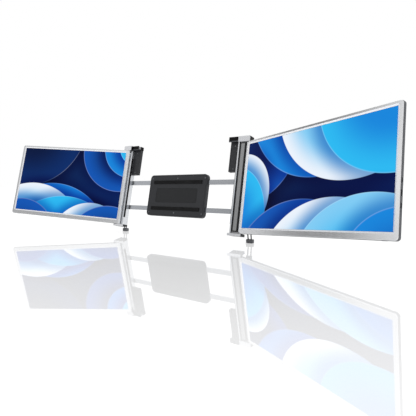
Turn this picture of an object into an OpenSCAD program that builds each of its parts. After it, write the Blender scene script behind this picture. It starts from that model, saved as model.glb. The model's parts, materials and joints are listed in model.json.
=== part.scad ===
/* [Lid that it hangs on] */
// Narrowest lid that it grips, edge to edge
lid_w = 349.3; // [340:0.1:360]
// Height of that lid
lid_h = 230.7; // [229:0.1:236]
// Thickness of that lid
lid_t = 4.5; // [3.5:0.1:5]
// How far the lid leans back from upright
lid_tilt = 12; // [4:0.5:15]
// Height of the lid's lower edge above the desk
lid_rise = 11.8; // [8:0.1:14]
// How far each side pulls out for a wider lid
pull_out = 26; // [10:1:30]

/* [Screens] */
// Width of the picture
view_w = 344.2; // [335:0.1:346]
// Height of the picture
view_h = 193.6; // [180:0.1:193.6]
// Frame beside the picture, on the hinge side, from the hinge axis
rim_hinge = 7; // [6.8:0.1:9]
// Frame beside the picture, on the outer side
rim_outer = 8.6; // [7.5:0.1:10]
// Frame above the picture
rim_top = 7; // [6:0.1:7]
// Frame below the picture
rim_foot = 12.5; // [11:0.1:12.5]
// Thickness of a screen
screen_t = 8; // [7.6:0.1:8.4]
// Thickness of the front frame
rim_t = 1.8; // [1.4:0.1:2.2]
// Width of the bevel that runs round the picture
bevel = 2.8; // [1.2:0.1:3]
// Thickness of the panel with its backlight
panel_t = 3.6; // [3:0.1:3.7]
// How far the panel reaches behind the front frame
panel_lap = 1; // [0.4:0.1:1.2]
// Rear wall of a screen
rear_wall = 1.4; // [1:0.1:1.6]
// Side wall of a screen
side_wall = 1.6; // [1.2:0.1:1.8]
// Radius of a screen's outer corners
corner_r = 5; // [3:0.5:8]
// Chamfer round a screen's rear edge
rear_chamfer = 1; // [0.5:0.1:1.4]
// Distance of the outer cover screws from a screen's ends
screw_inset = 40; // [30:1:60]
// Height of the screens' lower edge above the lid's
screen_rise = 14.7; // [14.6:0.1:15]
// How far each screen stands forward of flat
screen_angle = 21.3; // [10:0.1:30]

/* [Sockets and buttons] */
// Height of the lowest socket above a screen's lower edge
socket_rise = 51.5; // [45:0.5:60]
// Distance from one socket to the next
socket_pitch = 19; // [14:0.5:24]
// Width of the two power and data sockets
data_w = 8.94; // [8.6:0.01:9.2]
// Width of the picture socket
picture_w = 11.2; // [10.8:0.1:11.6]
// Thickness of a socket's shell, outside
socket_t = 3.2; // [3:0.1:3.3]
// Thickness of a socket's sheet metal
socket_sheet = 0.3; // [0.2:0.05:0.4]
// Depth of a socket
socket_d = 6.4; // [5.5:0.1:6.4]
// Length of a power button
button_l = 9; // [6:0.5:14]
// Width of a power button
button_w = 2.6; // [2:0.1:3]
// How far a power button travels
button_travel = 0.6; // [0.3:0.1:1]
// Distance of a power button from the screen's outer edge
button_inset = 22; // [16:0.5:34]

/* [Hinges] */
// Radius of the screen hinge pins
pin_r = 1.6; // [1.2:0.1:1.8]
// Length of a pin inside the piece that turns on it
pin_grip = 10; // [6:1:14]
// Room between the two folded screens
stack_gap = 1.1; // [0.6:0.1:2]
// Thickness of the upper hinge link
top_link_t = 1.2; // [1:0.1:1.6]
// Thickness of the lower hinge link
low_link_t = 3; // [2:0.1:3.4]
// Width of the inlay on the hinge spine
inlay_w = 9.4; // [6:0.1:9.6]
// Thickness of that inlay
inlay_t = 0.8; // [0.5:0.1:1]

/* [Columns] */
// Width of a column
column_w = 23; // [20:0.5:23]
// Depth of a column
column_d = 12; // [10:0.5:14]
// Wall of a column
column_wall = 2; // [1.5:0.1:2.5]
// Lip beside the lid, on the left
left_lip = 6.2; // [5:0.1:7]
// Lip beside the lid, on the right
right_lip = 3.6; // [3:0.1:5]
// Width of the end caps on the left
left_cap_w = 28; // [26:0.5:30]
// Width of the end caps on the right
right_cap_w = 30.5; // [29.5:0.5:32]
// Height of the top caps
top_cap_h = 13.3; // [12:0.1:15]
// Height of the bottom caps
low_cap_h = 5.9; // [5:0.1:7]
// Thickness of the bright plate on each cap
cap_plate = 1.4; // [1:0.1:1.8]
// How far the bottom hook reaches over the lid's edge
hook_reach = 3.1; // [2:0.1:5]
// Thickness of the rubber strip beside the lid
edge_pad_t = 1; // [0.6:0.1:1.2]
// Length of that strip
edge_pad_l = 170; // [100:5:200]
// Height of that strip's middle above the lid's lower edge
edge_pad_rise = 120; // [110:1:125]

/* [Clamp arms] */
// Width of a clamp arm
arm_w = 24.6; // [22:0.1:26]
// Height of a clamp arm
arm_h = 9.8; // [9:0.1:12]
// Depth of a clamp arm's front lip
arm_lip = 1.7; // [1.4:0.1:2.2]
// Depth of its rear block
arm_block = 11; // [10.5:0.1:13]
// How far its rubber lip hangs over the lid
arm_bite = 2.3; // [1.5:0.1:3.5]
// Radius of the two clamp rods
clamp_rod_r = 2.5; // [2:0.1:2.8]
// Distance between the two clamp rods
clamp_rod_gap = 12; // [11.6:0.1:12]
// How far a clamp arm lifts
clamp_lift = 20; // [10:1:24]
// Length of its springs when it is lifted all the way
spring_packed = 43.4; // [34:0.1:46]

/* [Rear frame] */
// Width of the centre housing
hub_w = 190; // [170:1:210]
// Height of the centre housing
hub_h = 110; // [100:1:112]
// Depth of the centre housing
hub_d = 10.6; // [10:0.1:14]
// Wall of the centre housing
hub_wall = 2; // [1.5:0.1:3]
// Height of the housing's middle above the lid's lower edge
hub_rise = 100; // [96:1:100]
// Thickness of the pads that the lid leans on
pad_t = 2.2; // [1.5:0.1:3]
// Height of those pads
pad_h = 9; // [6:0.5:12]
// Distance of their ends from the housing's sides
pad_inset = 15; // [12:1:30]
// Height of a rail
rail_h = 12; // [8:0.5:14]
// Thickness of a rail
rail_t = 4; // [3:0.1:4.5]
// Distance between the upper and the lower rail
rail_gap = 70; // [50:1:74]
// How far a rail reaches into its column
rail_root = 10; // [6:0.5:14]
// Distance of the rails' inner ends from the middle
rail_end = 20; // [10:1:22]
// Length of a rail's end stop
stop_l = 6; // [4:0.5:7]

/* [Legs] */
// Distance of a leg from the lid's edge
leg_out = 32.4; // [31.5:0.1:34]
// Height of a leg's pivot above the lid's lower edge
leg_rise = 47.8; // [44:0.1:60]
// How far a leg leans back from its column
leg_lean = 20.3; // [10:0.1:30]
// Width of a leg's sleeve
sleeve_w = 12.6; // [12:0.1:14]
// Thickness of a leg's sleeve
sleeve_t = 8; // [7:0.1:9]
// Length of a leg's sleeve below its pivot
sleeve_l = 24; // [22:0.5:28]
// Radius of a leg's rods
rod_r = 1.5; // [1.2:0.05:1.8]
// Distance between a leg's two rods
rod_gap = 8.2; // [7.6:0.1:8.6]
// Width of a foot
foot_w = 17; // [13:0.5:17.5]
// Depth of a foot
foot_d = 10.6; // [9:0.1:12]
// Height of a foot
foot_h = 8.6; // [7:0.1:10]
// Radius of a leg's pivot pin
leg_pin_r = 1.5; // [1.2:0.1:1.8]

/* [Hidden] */
$fn = 48;

LEFT = -1;
RIGHT = 1;

run = 0.05;        // clearance of a pin or rod in its bore, on the radius
slip = 0.2;        // clearance between flat faces that slide
gap = 0.3;         // clearance between pieces that only pass each other
seam = 0.5;        // gap between a screen and the caps above and below it
edge_gap = 1.35;   // from the lid's edge to the column

// Screens: u runs outwards from the hinge axis, v backwards from it, w upwards from the lower edge
half_t = screen_t / 2;
screen_w = rim_hinge + view_w + rim_outer;
screen_h = rim_foot + view_h + rim_top;
rim_v = -half_t + rim_t;
rear_v = half_t - rear_wall;
barrel_u = rim_hinge - panel_lap - 0.5;
panel_v = rim_v + panel_t;
screen_top = screen_rise + screen_h;

// Columns and hinge axes: x outwards from the middle, y backwards from the lid's screen face
column_x = lid_w / 2 + edge_gap;
column_y = screen_t + 0.5;
column_back = column_y + column_d;
axis_gap = 0.4;
left_axis = [column_x + left_lip + axis_gap + half_t, -half_t - gap];
right_axis = [column_x + right_lip + axis_gap + half_t, half_t];
spine_reach = right_axis.y - left_axis.y + screen_t + stack_gap;
outer_axis = [right_axis.x + spine_reach, right_axis.y];
spine_end = spine_reach - half_t - 0.6;

cap_z = screen_top + 0.4;
low_cap_z = screen_rise - seam;
bore_skin = 0.4;   // what stays of a cap between a hinge pin and the plate before it
left_cap_front = left_axis.y - pin_r - bore_skin - cap_plate;
right_cap_front = -1.8;

// Hinge links lie in notches in the right screen's corners
link_gap = 0.2;
low_notch = low_link_t + link_gap;
top_notch = top_link_t + link_gap;

// Clamp arms
arm_x = column_x - 0.4 - arm_w;
arm_z = lid_h + gap;
arm_pad_t = 1.3;
arm_block_y = column_y - 0.5;
arm_skin = 0.2;
arm_lip_y = -0.8 - arm_lip;
clamp_d = 10.5;
clamp_y = arm_block_y + clamp_d / 2;
clamp_wall = 3.4;
clamp_disc_r = clamp_rod_r + 1.5;
clamp_bore_r = clamp_disc_r + 0.4;
clamp_disc_t = 3;
clamp_disc_in = 2;
clamp_top = arm_z - gap;
clamp_disc_z = clamp_top - clamp_wall - spring_packed - clamp_lift - clamp_disc_t - gap;
clamp_low = clamp_disc_z - clamp_disc_in;
spring_turns = 9;
spring_wire = 0.45;

// Rear frame
pad_y = lid_t + 0.2;
cover_y = pad_y + pad_t;
hub_cover = 1.5;
hub_y = cover_y + hub_cover;
rail_y = hub_y + hub_d / 2 - rail_t / 2 - 0.3;
rail_zs = [hub_rise - rail_gap / 2, hub_rise + rail_gap / 2];
guide_x = rail_end + stop_l + pull_out + gap;
guide_wall = 3;
hub_r = 10;

// Legs
leg_x = lid_w / 2 + leg_out;
leg_pad = 2.5;
leg_pad_in = 9;    // from the column's inner side to the bracket's base
leg_pad_low = 9.5;
leg_pad_high = 10.5;
ear_t = 2.2;
ear_r = 4.5;
ear_gap = 0.15;
leg_y = column_back + leg_pad + sleeve_t / 2 + 1;
leg_pivot_z = leg_rise * cos(lid_tilt) - leg_y * sin(lid_tilt);
leg_l = (leg_pivot_z + lid_rise) / cos(leg_lean - lid_tilt);
rod_top = 12;
rod_foot = 5;

// Points of an arc round c, from angle a to angle b
function arc(c, r, a, b, n = 6) =
    [for (i = [0 : n]) c + r * [cos(a + (b - a) * i / n), sin(a + (b - a) * i / n)]];

// Outline of a rectangle with round corners
function rounded(lo, hi, r) = concat(
    arc([hi.x - r, lo.y + r], r, -90, 0), arc([hi.x - r, hi.y - r], r, 0, 90),
    arc([lo.x + r, hi.y - r], r, 90, 180), arc([lo.x + r, lo.y + r], r, 180, 270));

// Outline of a rectangle whose two right-hand corners are round
function right_rounded(lo, hi, r) = concat(
    [lo], arc([hi.x - r, lo.y + r], r, -90, 0), arc([hi.x - r, hi.y - r], r, 0, 90), [[lo.x, hi.y]]);

module box(lo, hi) { translate(lo) cube(hi - lo); }

// An outline in x and z, from y0 back to y1
module upright(y0, y1) { translate([0, y1, 0]) rotate([90, 0, 0]) linear_extrude(y1 - y0) children(); }

// An outline in y and z, from x0 out to x1
module crosswise(x0, x1) { translate([x0, 0, 0]) rotate([90, 0, 90]) linear_extrude(x1 - x0) children(); }

// An outline in x and y, from z0 up to z1
module level(z0, z1) { translate([0, 0, z0]) linear_extrude(z1 - z0) children(); }

module post(r, z0, z1) { translate([0, 0, z0]) cylinder(r = r, h = z1 - z0); }

module rod_y(r, y0, y1) { translate([0, y1, 0]) rotate([90, 0, 0]) cylinder(r = r, h = y1 - y0); }

module rod_x(r, x0, x1) { translate([x0, 0, 0]) rotate([0, 90, 0]) cylinder(r = r, h = x1 - x0); }

// Everything stands in the lid's frame, which leans back
module leaning() { rotate([-lid_tilt, 0, 0]) children(); }

module on_side(side) { leaning() { if (side == LEFT) mirror([1, 0, 0]) children(); else children(); } }

// ---- Centre housing behind the lid ----

module hub_outline(inset) {
    polygon(rounded([-hub_w / 2 + inset, hub_rise - hub_h / 2 + inset],
                    [hub_w / 2 - inset, hub_rise + hub_h / 2 - inset], hub_r - inset));
}

module centre_housing() {
    rail_room = [rail_t / 2 + slip, rail_h / 2 + slip];
    color([0.23, 0.23, 0.25]) leaning() difference() {
        upright(hub_y, hub_y + hub_d) hub_outline(0);
        upright(hub_y - 1, hub_y + hub_d - hub_wall) hub_outline(hub_wall);
        for (z = rail_zs)
            box([-hub_w / 2 - 1, rail_y + rail_t / 2 - rail_room.x, z - rail_room.y],
                [hub_w / 2 + 1, rail_y + rail_t / 2 + rail_room.x, z + rail_room.y]);
    }
}

module centre_cover() {
    color([0.2, 0.2, 0.22]) leaning() upright(cover_y, hub_y) hub_outline(0);
}

// Four blocks that the rails run through, between the cover and the housing's rear wall
module rail_guides() {
    color([0.85, 0.85, 0.82]) leaning() for (side = [LEFT, RIGHT], z = rail_zs) {
        inner = side == LEFT ? -hub_w / 2 + hub_wall : guide_x;
        outer = side == LEFT ? -guide_x : hub_w / 2 - hub_wall;
        difference() {
            box([inner, hub_y, z - rail_h / 2 - guide_wall],
                [outer, hub_y + hub_d - hub_wall, z + rail_h / 2 + guide_wall]);
            box([inner - 1, rail_y - slip / 2, z - rail_h / 2 - slip / 2],
                [outer + 1, rail_y + rail_t + slip / 2, z + rail_h / 2 + slip / 2]);
        }
    }
}

module lid_pads() {
    pad_w = hub_w - 2 * pad_inset;
    color([0.1, 0.1, 0.1]) leaning() for (z = rail_zs)
        upright(pad_y, cover_y) polygon(rounded([-pad_w / 2, z - pad_h / 2], [pad_w / 2, z + pad_h / 2], 3));
}

// ---- Columns ----

module column_tube(side) {
    lip = side == LEFT ? left_lip : right_lip;
    inner = [column_x + column_wall, column_y + column_wall];
    outer = [column_x + column_w - column_wall, column_back - column_wall];
    color([0.7, 0.7, 0.71]) on_side(side) difference() {
        level(low_cap_z, cap_z) union() {
            polygon(rounded([column_x, column_y], [column_x + column_w, column_back], 1.5));
            polygon(rounded([column_x, 0.1], [column_x + lip, column_y + 4], 1));
        }
        level(low_cap_z - 1, cap_z + 1) polygon(rounded(inner, outer, 0.5));
        for (z = rail_zs)
            box([column_x - 1, rail_y, z - rail_h / 2], [column_x + rail_root, rail_y + rail_t, z + rail_h / 2]);
    }
}

// A cap's outline seen from above
module cap_outline(side, front) {
    w = side == LEFT ? left_cap_w : right_cap_w;
    polygon(right_rounded([column_x, front + cap_plate], [column_x + w, column_back], 2));
}

module cap_plug(z0, z1) {
    fit = column_wall + slip;
    level(z0, z1) polygon(rounded([column_x + fit, column_y + fit],
                                  [column_x + column_w - fit, column_back - fit], 0.5));
}

module top_cap(side) {
    front = side == LEFT ? left_cap_front : right_cap_front;
    axis = side == LEFT ? left_axis : right_axis;
    color([0.06, 0.06, 0.06]) on_side(side) difference() {
        union() {
            level(cap_z, cap_z + top_cap_h) cap_outline(side, front);
            cap_plug(cap_z - 6, cap_z);
        }
        translate(axis) post(pin_r, cap_z - 1, cap_z + pin_grip);
    }
}

module top_plate(side) {
    front = side == LEFT ? left_cap_front : right_cap_front;
    w = side == LEFT ? left_cap_w : right_cap_w;
    color([0.8, 0.8, 0.81]) on_side(side)
        upright(front, front + cap_plate)
            polygon(rounded([column_x, cap_z], [column_x + w, cap_z + top_cap_h], 1));
}

module bottom_cap(side) {
    front = side == LEFT ? left_cap_front : right_cap_front;
    axis = side == LEFT ? left_axis : right_axis;
    color([0.15, 0.15, 0.16]) on_side(side) difference() {
        union() {
            level(low_cap_z - low_cap_h, low_cap_z) cap_outline(side, front);
            cap_plug(low_cap_z, low_cap_z + 6);
        }
        translate(axis) post(pin_r, low_cap_z - low_cap_h + 1, low_cap_z + 1);
    }
}

// The bright front plate of the bottom cap, with the hook that holds the lid's edge
module bottom_plate(side) {
    front = side == LEFT ? left_cap_front : right_cap_front;
    w = side == LEFT ? left_cap_w : right_cap_w;
    hook_x = lid_w / 2 - hook_reach;
    z0 = low_cap_z - low_cap_h;
    color([0.84, 0.84, 0.85]) on_side(side) union() {
        upright(front, front + cap_plate)
            polygon(rounded([hook_x, z0], [column_x + w, low_cap_z], 1));
        box([hook_x + 0.5, front + 0.4, z0 + 0.5], [lid_w / 2 - 0.2, -gap, low_cap_z - 0.5]);
    }
}

module edge_pad(side) {
    color([0.09, 0.09, 0.09]) on_side(side)
        crosswise(column_x - edge_pad_t, column_x)
            polygon(rounded([0.6, edge_pad_rise - edge_pad_l / 2], [lid_t + 2, edge_pad_rise + edge_pad_l / 2], 1));
}

module rails(side) {
    color([0.55, 0.56, 0.58]) on_side(side) for (z = rail_zs) {
        box([rail_end, rail_y, z - rail_h / 2], [column_x + rail_root, rail_y + rail_t, z + rail_h / 2]);
        box([rail_end, rail_y - 1, z - rail_h / 2 - 1.5], [rail_end + stop_l, rail_y + rail_t + 1, z + rail_h / 2 + 1.5]);
    }
}

// ---- Clamps ----

rod_xs = [arm_x + arm_w / 2 - clamp_rod_gap / 2, arm_x + arm_w / 2 + clamp_rod_gap / 2];

module clamp_housing(side) {
    color([0.2, 0.2, 0.22]) on_side(side) difference() {
        level(clamp_low, clamp_top)
            polygon(rounded([arm_x, clamp_y - clamp_d / 2], [column_x, clamp_y + clamp_d / 2], 1));
        for (x = rod_xs) translate([x, clamp_y, 0]) {
            post(clamp_rod_r + run, clamp_low, clamp_top + 1);
            post(clamp_bore_r, clamp_low - 1, clamp_top - clamp_wall);
        }
    }
}

// Front lip, and rear block with its two sliding rods
module clamp_arm(side) {
    top = arm_z + arm_skin + arm_h;
    color([0.04, 0.04, 0.04]) on_side(side) {
        crosswise(arm_x, arm_x + arm_w)
            polygon(rounded([arm_lip_y, arm_z + arm_skin], [arm_lip_y + arm_lip, top], 0.6));
        union() {
            crosswise(arm_x, arm_x + arm_w)
                polygon(rounded([arm_block_y, arm_z], [arm_block_y + arm_block, top], 1.5));
            for (x = rod_xs) translate([x, clamp_y, 0]) {
                post(clamp_rod_r, clamp_disc_z, arm_z + 1);
                post(clamp_disc_r, clamp_disc_z, clamp_disc_z + clamp_disc_t);
            }
        }
    }
}

// Metal bridge over the lid's top edge, which joins the front lip to the rear block
module arm_bracket(side) {
    color([0.45, 0.45, 0.46]) on_side(side)
        box([arm_x + 1, arm_lip_y + arm_lip, arm_z + arm_pad_t],
            [arm_x + arm_w - 1, arm_block_y, arm_z + arm_h - 1]);
}

// Rubber that lies on the lid's top edge and hangs over its front
module arm_pad(side) {
    lip_back = arm_lip_y + arm_lip;
    color([0.25, 0.25, 0.26]) on_side(side)
        crosswise(arm_x, arm_x + arm_w) polygon([
            [arm_lip_y + 0.2, arm_z - arm_bite], [-0.2, arm_z - arm_bite], [-0.2, arm_z],
            [arm_block_y - 0.2, arm_z], [arm_block_y - 0.2, arm_z + arm_pad_t],
            [lip_back, arm_z + arm_pad_t], [lip_back, arm_z + arm_skin], [arm_lip_y + 0.2, arm_z + arm_skin]]);
}

// One coil: a tube of six sides that winds round the z axis, with both ends closed
module coil(r, wire, z0, z1, turns) {
    steps = turns * 8;
    sides = 5;
    ring = [for (k = [0 : sides - 1]) wire * [cos(360 * k / sides), sin(360 * k / sides)]];
    points = [for (i = [0 : steps], p = ring) let (a = 360 * turns * i / steps)
        [(r + p.x) * cos(a), (r + p.x) * sin(a), z0 + wire + (z1 - z0 - 2 * wire) * i / steps + p.y]];
    walls = [for (i = [0 : steps - 1], k = [0 : sides - 1], half = [0, 1])
        let (a = i * sides + k, b = i * sides + (k + 1) % sides)
        half == 0 ? [a, a + sides, b + sides] : [a, b + sides, b]];
    first = [for (k = [1 : sides - 2]) [0, k, k + 1]];
    last = [for (k = [1 : sides - 2]) [steps * sides, steps * sides + k + 1, steps * sides + k]];
    polyhedron(points = points, faces = concat(walls, first, last), convexity = turns);
}

// Springs that pull the arm down, each round its rod, from the disc up to the housing's shoulder
module clamp_springs(side) {
    color([0.6, 0.6, 0.6]) on_side(side) for (x = rod_xs) translate([x, clamp_y, 0])
        coil(clamp_rod_r + spring_wire + 0.25, spring_wire, clamp_disc_z + clamp_disc_t + 0.1,
             clamp_top - clamp_wall - 0.1, spring_turns);
}

// ---- Legs ----

module at_leg(side) { on_side(side) translate([leg_x, leg_y, leg_rise]) children(); }

module along_leg(side) { at_leg(side) rotate([leg_lean, 0, 0]) children(); }

module leg_bracket(side) {
    ear_in = sleeve_w / 2 + ear_gap;
    base_y = column_back - leg_y;
    color([0.18, 0.18, 0.19]) at_leg(side) difference() {
        union() {
            box([column_x + leg_pad_in - leg_x, base_y, -leg_pad_low],
                [ear_in + ear_t, base_y + leg_pad, leg_pad_high]);
            for (x = [-ear_in - ear_t, ear_in]) {
                rod_x(ear_r, x, x + ear_t);
                box([x, base_y + leg_pad - 0.5, -ear_r], [x + ear_t, 0, ear_r]);
            }
        }
        rod_x(leg_pin_r, -ear_in - ear_t - 1, ear_in + ear_t + 1);
    }
}

module leg_pin(side) {
    reach = sleeve_w / 2 + ear_gap + ear_t;
    color([0.6, 0.6, 0.62]) at_leg(side) union() {
        rod_x(leg_pin_r, -reach, reach);
        rod_x(leg_pin_r + 1, reach, reach + 1);
        rod_x(leg_pin_r + 1, -reach - 1, -reach);
    }
}

module leg_sleeve(side) {
    half = sleeve_t / 2;
    color([0.12, 0.12, 0.13]) along_leg(side) difference() {
        union() {
            rod_x(half, -sleeve_w / 2, sleeve_w / 2);
            box([-sleeve_w / 2, -half, -sleeve_l], [sleeve_w / 2, half, 0]);
        }
        rod_x(leg_pin_r + run, -sleeve_w, sleeve_w);
        for (x = [-rod_gap / 2, rod_gap / 2]) translate([x, 0, 0])
            post(rod_r + run, -sleeve_l - 1, -leg_pin_r - 3);
    }
}

module leg_rods(side) {
    color([0.72, 0.72, 0.73]) along_leg(side) for (x = [-rod_gap / 2, rod_gap / 2])
        translate([x, 0, 0]) post(rod_r, -leg_l + rod_foot, -rod_top);
}

module foot(side) {
    color([0.28, 0.28, 0.29]) along_leg(side) difference() {
        translate([0, 0, -leg_l]) rotate([lid_tilt - leg_lean, 0, 0])
            level(0, foot_h) polygon(rounded([-foot_w / 2, -foot_d / 2], [foot_w / 2, foot_d / 2], 2));
        for (x = [-rod_gap / 2, rod_gap / 2]) translate([x, 0, 0])
            post(rod_r, -leg_l + rod_foot, 0);
    }
}

// ---- Spine between the right column and the right screen ----

module at_spine() { leaning() translate([right_axis.x, right_axis.y, 0]) children(); }

spine_z = [screen_rise + low_notch, screen_top - top_notch];
inlay_u = 0.5;
inlay_end = 2.3;   // from the spine's ends to the inlay's
inlay_sink = 0.15;

module spine_body() {
    color([0.1, 0.1, 0.11]) at_spine() difference() {
        union() {
            post(half_t, spine_z[0], spine_z[1]);
            box([0, -half_t, spine_z[0]], [spine_end, half_t, spine_z[1]]);
        }
        box([inlay_u, -half_t - 1, spine_z[0] + inlay_end],
            [inlay_u + inlay_w, -half_t + inlay_t, spine_z[1] - inlay_end]);
        post(pin_r + run, spine_z[0] - 1, spine_z[0] + pin_grip + gap);
        post(pin_r + run, spine_z[1] - pin_grip - gap, spine_z[1] + 1);
    }
}

module spine_inlay() {
    color([0.5, 0.5, 0.51]) at_spine()
        box([inlay_u, -half_t + inlay_sink, spine_z[0] + inlay_end],
            [inlay_u + inlay_w, -half_t + inlay_t, spine_z[1] - inlay_end]);
}

// One link of the double hinge: full thickness at the column's axis, thinner where it enters the screen
module link(low, high, screen_low, screen_high) {
    difference() {
        union() {
            post(half_t, low, high);
            translate([spine_reach, 0, 0]) post(half_t, screen_low, screen_high);
            box([0, -half_t, screen_low], [spine_reach, half_t, screen_high]);
        }
        post(pin_r + run, low - 1, high + 1);
        translate([spine_reach, 0, 0]) post(pin_r, low - 1, high + 1);
    }
}

module spine_links() {
    color([0.35, 0.35, 0.36]) at_spine() {
        link(screen_rise, spine_z[0], screen_rise, spine_z[0] - link_gap);
        link(spine_z[1], screen_top, spine_z[1] + link_gap, screen_top);
    }
}

module spine_pins() {
    color([0.6, 0.6, 0.62]) at_spine() translate([spine_reach, 0, 0]) {
        post(pin_r, screen_rise, spine_z[0] + pin_grip);
        post(pin_r, spine_z[1] - pin_grip, screen_top);
    }
}

module hinge_pins(side) {
    axis = side == LEFT ? left_axis : right_axis;
    low = side == LEFT ? screen_rise : spine_z[0];
    high = side == LEFT ? screen_top : spine_z[1];
    color([0.6, 0.6, 0.62]) on_side(side) translate(axis) {
        post(pin_r, low_cap_z - low_cap_h + 1, low + pin_grip);
        post(pin_r, high - pin_grip, cap_z + pin_grip);
    }
}

// ---- Screens ----

module on_screen(side) {
    axis = side == LEFT ? left_axis : outer_axis;
    on_side(side) translate([axis.x, axis.y, screen_rise]) rotate([0, 0, -screen_angle]) children();
}

outer_u = rim_hinge + view_w + rim_outer;
window_lo = [rim_hinge, rim_foot];
window_hi = [rim_hinge + view_w, rim_foot + view_h];
screw_us = [screw_inset, outer_u / 2, outer_u - screw_inset];
screw_ws = [(rim_foot - panel_lap) / 2 + 0.4, screen_h - (rim_top - panel_lap) / 2 - 0.8];
boss_r = 2;
screw_r = 0.8;
screw_head_r = 1.6;
screw_head_t = 0.6;
button_u = outer_u - button_inset;
button_out = button_travel + gap;

// The notch in the right screen's corners that its hinge links lie in
module link_notches(side) {
    if (side == RIGHT) {
        box([-half_t - 1, -half_t - 1, -1], [half_t + axis_gap, half_t + 1, low_notch]);
        box([-half_t - 1, -half_t - 1, screen_h - top_notch], [half_t + axis_gap, half_t + 1, screen_h + 1]);
    }
}

module front_frame(side) {
    color([0.8, 0.8, 0.81]) on_screen(side) difference() {
        union() {
            upright(-half_t, rim_v)
                polygon(right_rounded([0, 0], [outer_u, screen_h], corner_r));
            for (u = screw_us, w = screw_ws) translate([u, 0, w]) rod_y(boss_r, rim_v - 0.5, rear_v);
        }
        // The window flares towards the front by the width of the bevel
        intersection() {
            level(-1, screen_h + 1) polygon([[window_lo.x, rim_v + 1], [window_lo.x, rim_v],
                [window_lo.x - bevel, -half_t], [window_lo.x - bevel, -half_t - 1],
                [window_hi.x + bevel, -half_t - 1], [window_hi.x + bevel, -half_t],
                [window_hi.x, rim_v], [window_hi.x, rim_v + 1]]);
            crosswise(-1, outer_u + 1) polygon([[rim_v + 1, window_lo.y], [rim_v, window_lo.y],
                [-half_t, window_lo.y - bevel], [-half_t - 1, window_lo.y - bevel],
                [-half_t - 1, window_hi.y + bevel], [-half_t, window_hi.y + bevel],
                [rim_v, window_hi.y], [rim_v + 1, window_hi.y]]);
        }
        for (u = screw_us, w = screw_ws) translate([u, 0, w]) rod_y(screw_r, rim_v + 0.3, rear_v + 1);
        link_notches(side);
    }
}

module display(side) {
    color([0.05, 0.2, 0.5]) on_screen(side)
        box([window_lo.x - panel_lap, rim_v, window_lo.y - panel_lap],
            [window_hi.x + panel_lap, panel_v, window_hi.y + panel_lap]);
}

socket_ws = [socket_rise, socket_rise + socket_pitch, socket_rise + 2 * socket_pitch];

// Outline of a socket across its mouth, in thickness and height
module socket_outline(i, shrink) {
    w = (i == 1 ? picture_w : data_w) / 2 - shrink;
    t = socket_t / 2 - shrink;
    if (i == 1) polygon([[-t, -w], [t * 0.2, -w], [t, -w + t * 0.8], [t, w - t * 0.8], [t * 0.2, w], [-t, w]]);
    else polygon(rounded([-t, -w], [t, w], t * 0.98));
}

module rear_cover(side) {
    color([0.62, 0.62, 0.63]) on_screen(side) difference() {
        upright(rim_v, half_t) polygon(right_rounded([barrel_u, 0], [outer_u, screen_h], corner_r));
        // Open towards the hinge, where the barrel closes it
        upright(rim_v - 1, rear_v) polygon(right_rounded([barrel_u - 1, side_wall],
            [outer_u - side_wall, screen_h - side_wall], corner_r - side_wall));
        for (edge = [[0, 1], [screen_h, -1]]) crosswise(barrel_u - 1, outer_u + 1)
            polygon([[half_t - rear_chamfer - 1, edge[0] - edge[1]], [half_t + 1, edge[0] - edge[1]],
                     [half_t + 1, edge[0] + edge[1] * (rear_chamfer + 1)]]);
        level(-1, screen_h + 1) polygon([[outer_u + 1, half_t - rear_chamfer - 1], [outer_u + 1, half_t + 1],
                                         [outer_u - rear_chamfer - 1, half_t + 1]]);
        for (i = [0 : 2]) translate([0, 0, socket_ws[i]])
            crosswise(outer_u - side_wall - 1, outer_u + 1) socket_outline(i, 0);
        for (u = screw_us, w = screw_ws) translate([u, 0, w]) {
            rod_y(screw_r + 0.2, rear_v - 1, half_t + 1);
            rod_y(screw_head_r + 0.1, half_t - screw_head_t - 0.1, half_t + 1);
        }
        box([button_u - button_l / 2 - slip, -button_w / 2 - slip, -1],
            [button_u + button_l / 2 + slip, button_w / 2 + slip, side_wall + 1]);
    }
}

// The board reaches past the lowest and the highest socket by its margins
board_w = 46.2;
board_under = 29.5;
board_over = 18;
board_low = socket_rise - board_under;
board_high = socket_ws[2] + board_over;

module control_board(side) {
    edge = outer_u - side_wall - slip;
    color([0.05, 0.3, 0.12]) on_screen(side)
        box([edge - board_w, socket_t / 2, board_low], [edge, rear_v, board_high]);
}

module sockets(side) {
    back_u = outer_u - 0.1 - socket_d;
    color([0.75, 0.75, 0.77]) on_screen(side) for (i = [0 : 2]) translate([0, 0, socket_ws[i]]) union() {
        difference() {
            crosswise(back_u, outer_u - 0.1) socket_outline(i, 0);
            crosswise(back_u + 0.8, outer_u + 1) socket_outline(i, socket_sheet);
        }
        box([back_u + 0.4, -0.35, -data_w / 2 + 1.4], [outer_u - 1.4, 0.35, data_w / 2 - 1.4]);
    }
}

// The round inner edge of a screen, which turns on the hinge pins
module hinge_barrel(side) {
    low = side == LEFT ? 0 : low_notch;
    high = screen_h - (side == LEFT ? 0 : top_notch);
    color([0.78, 0.78, 0.79]) on_screen(side) difference() {
        union() {
            difference() {
                post(half_t, low, high);
                box([0, -screen_t, low - 1], [screen_t, screen_t, high + 1]);
            }
            box([-0.5, rim_v, 0], [barrel_u, half_t, screen_h]);
        }
        link_notches(side);
        post(pin_r + run, low - 1, low + pin_grip + gap);
        post(pin_r + run, high - pin_grip - gap, high + 1);
    }
}

module power_button(side) {
    color([0.3, 0.3, 0.31]) on_screen(side) translate([button_u, 0, 0]) union() {
        upright(-button_w / 2, button_w / 2)
            polygon(rounded([-button_l / 2, -button_out], [button_l / 2, side_wall + 1], 0.6));
        box([-button_l / 2 - 1, -button_w / 2 - 0.6, side_wall + 0.05],
            [button_l / 2 + 1, button_w / 2 + 0.6, side_wall + 1]);
    }
}

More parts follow.
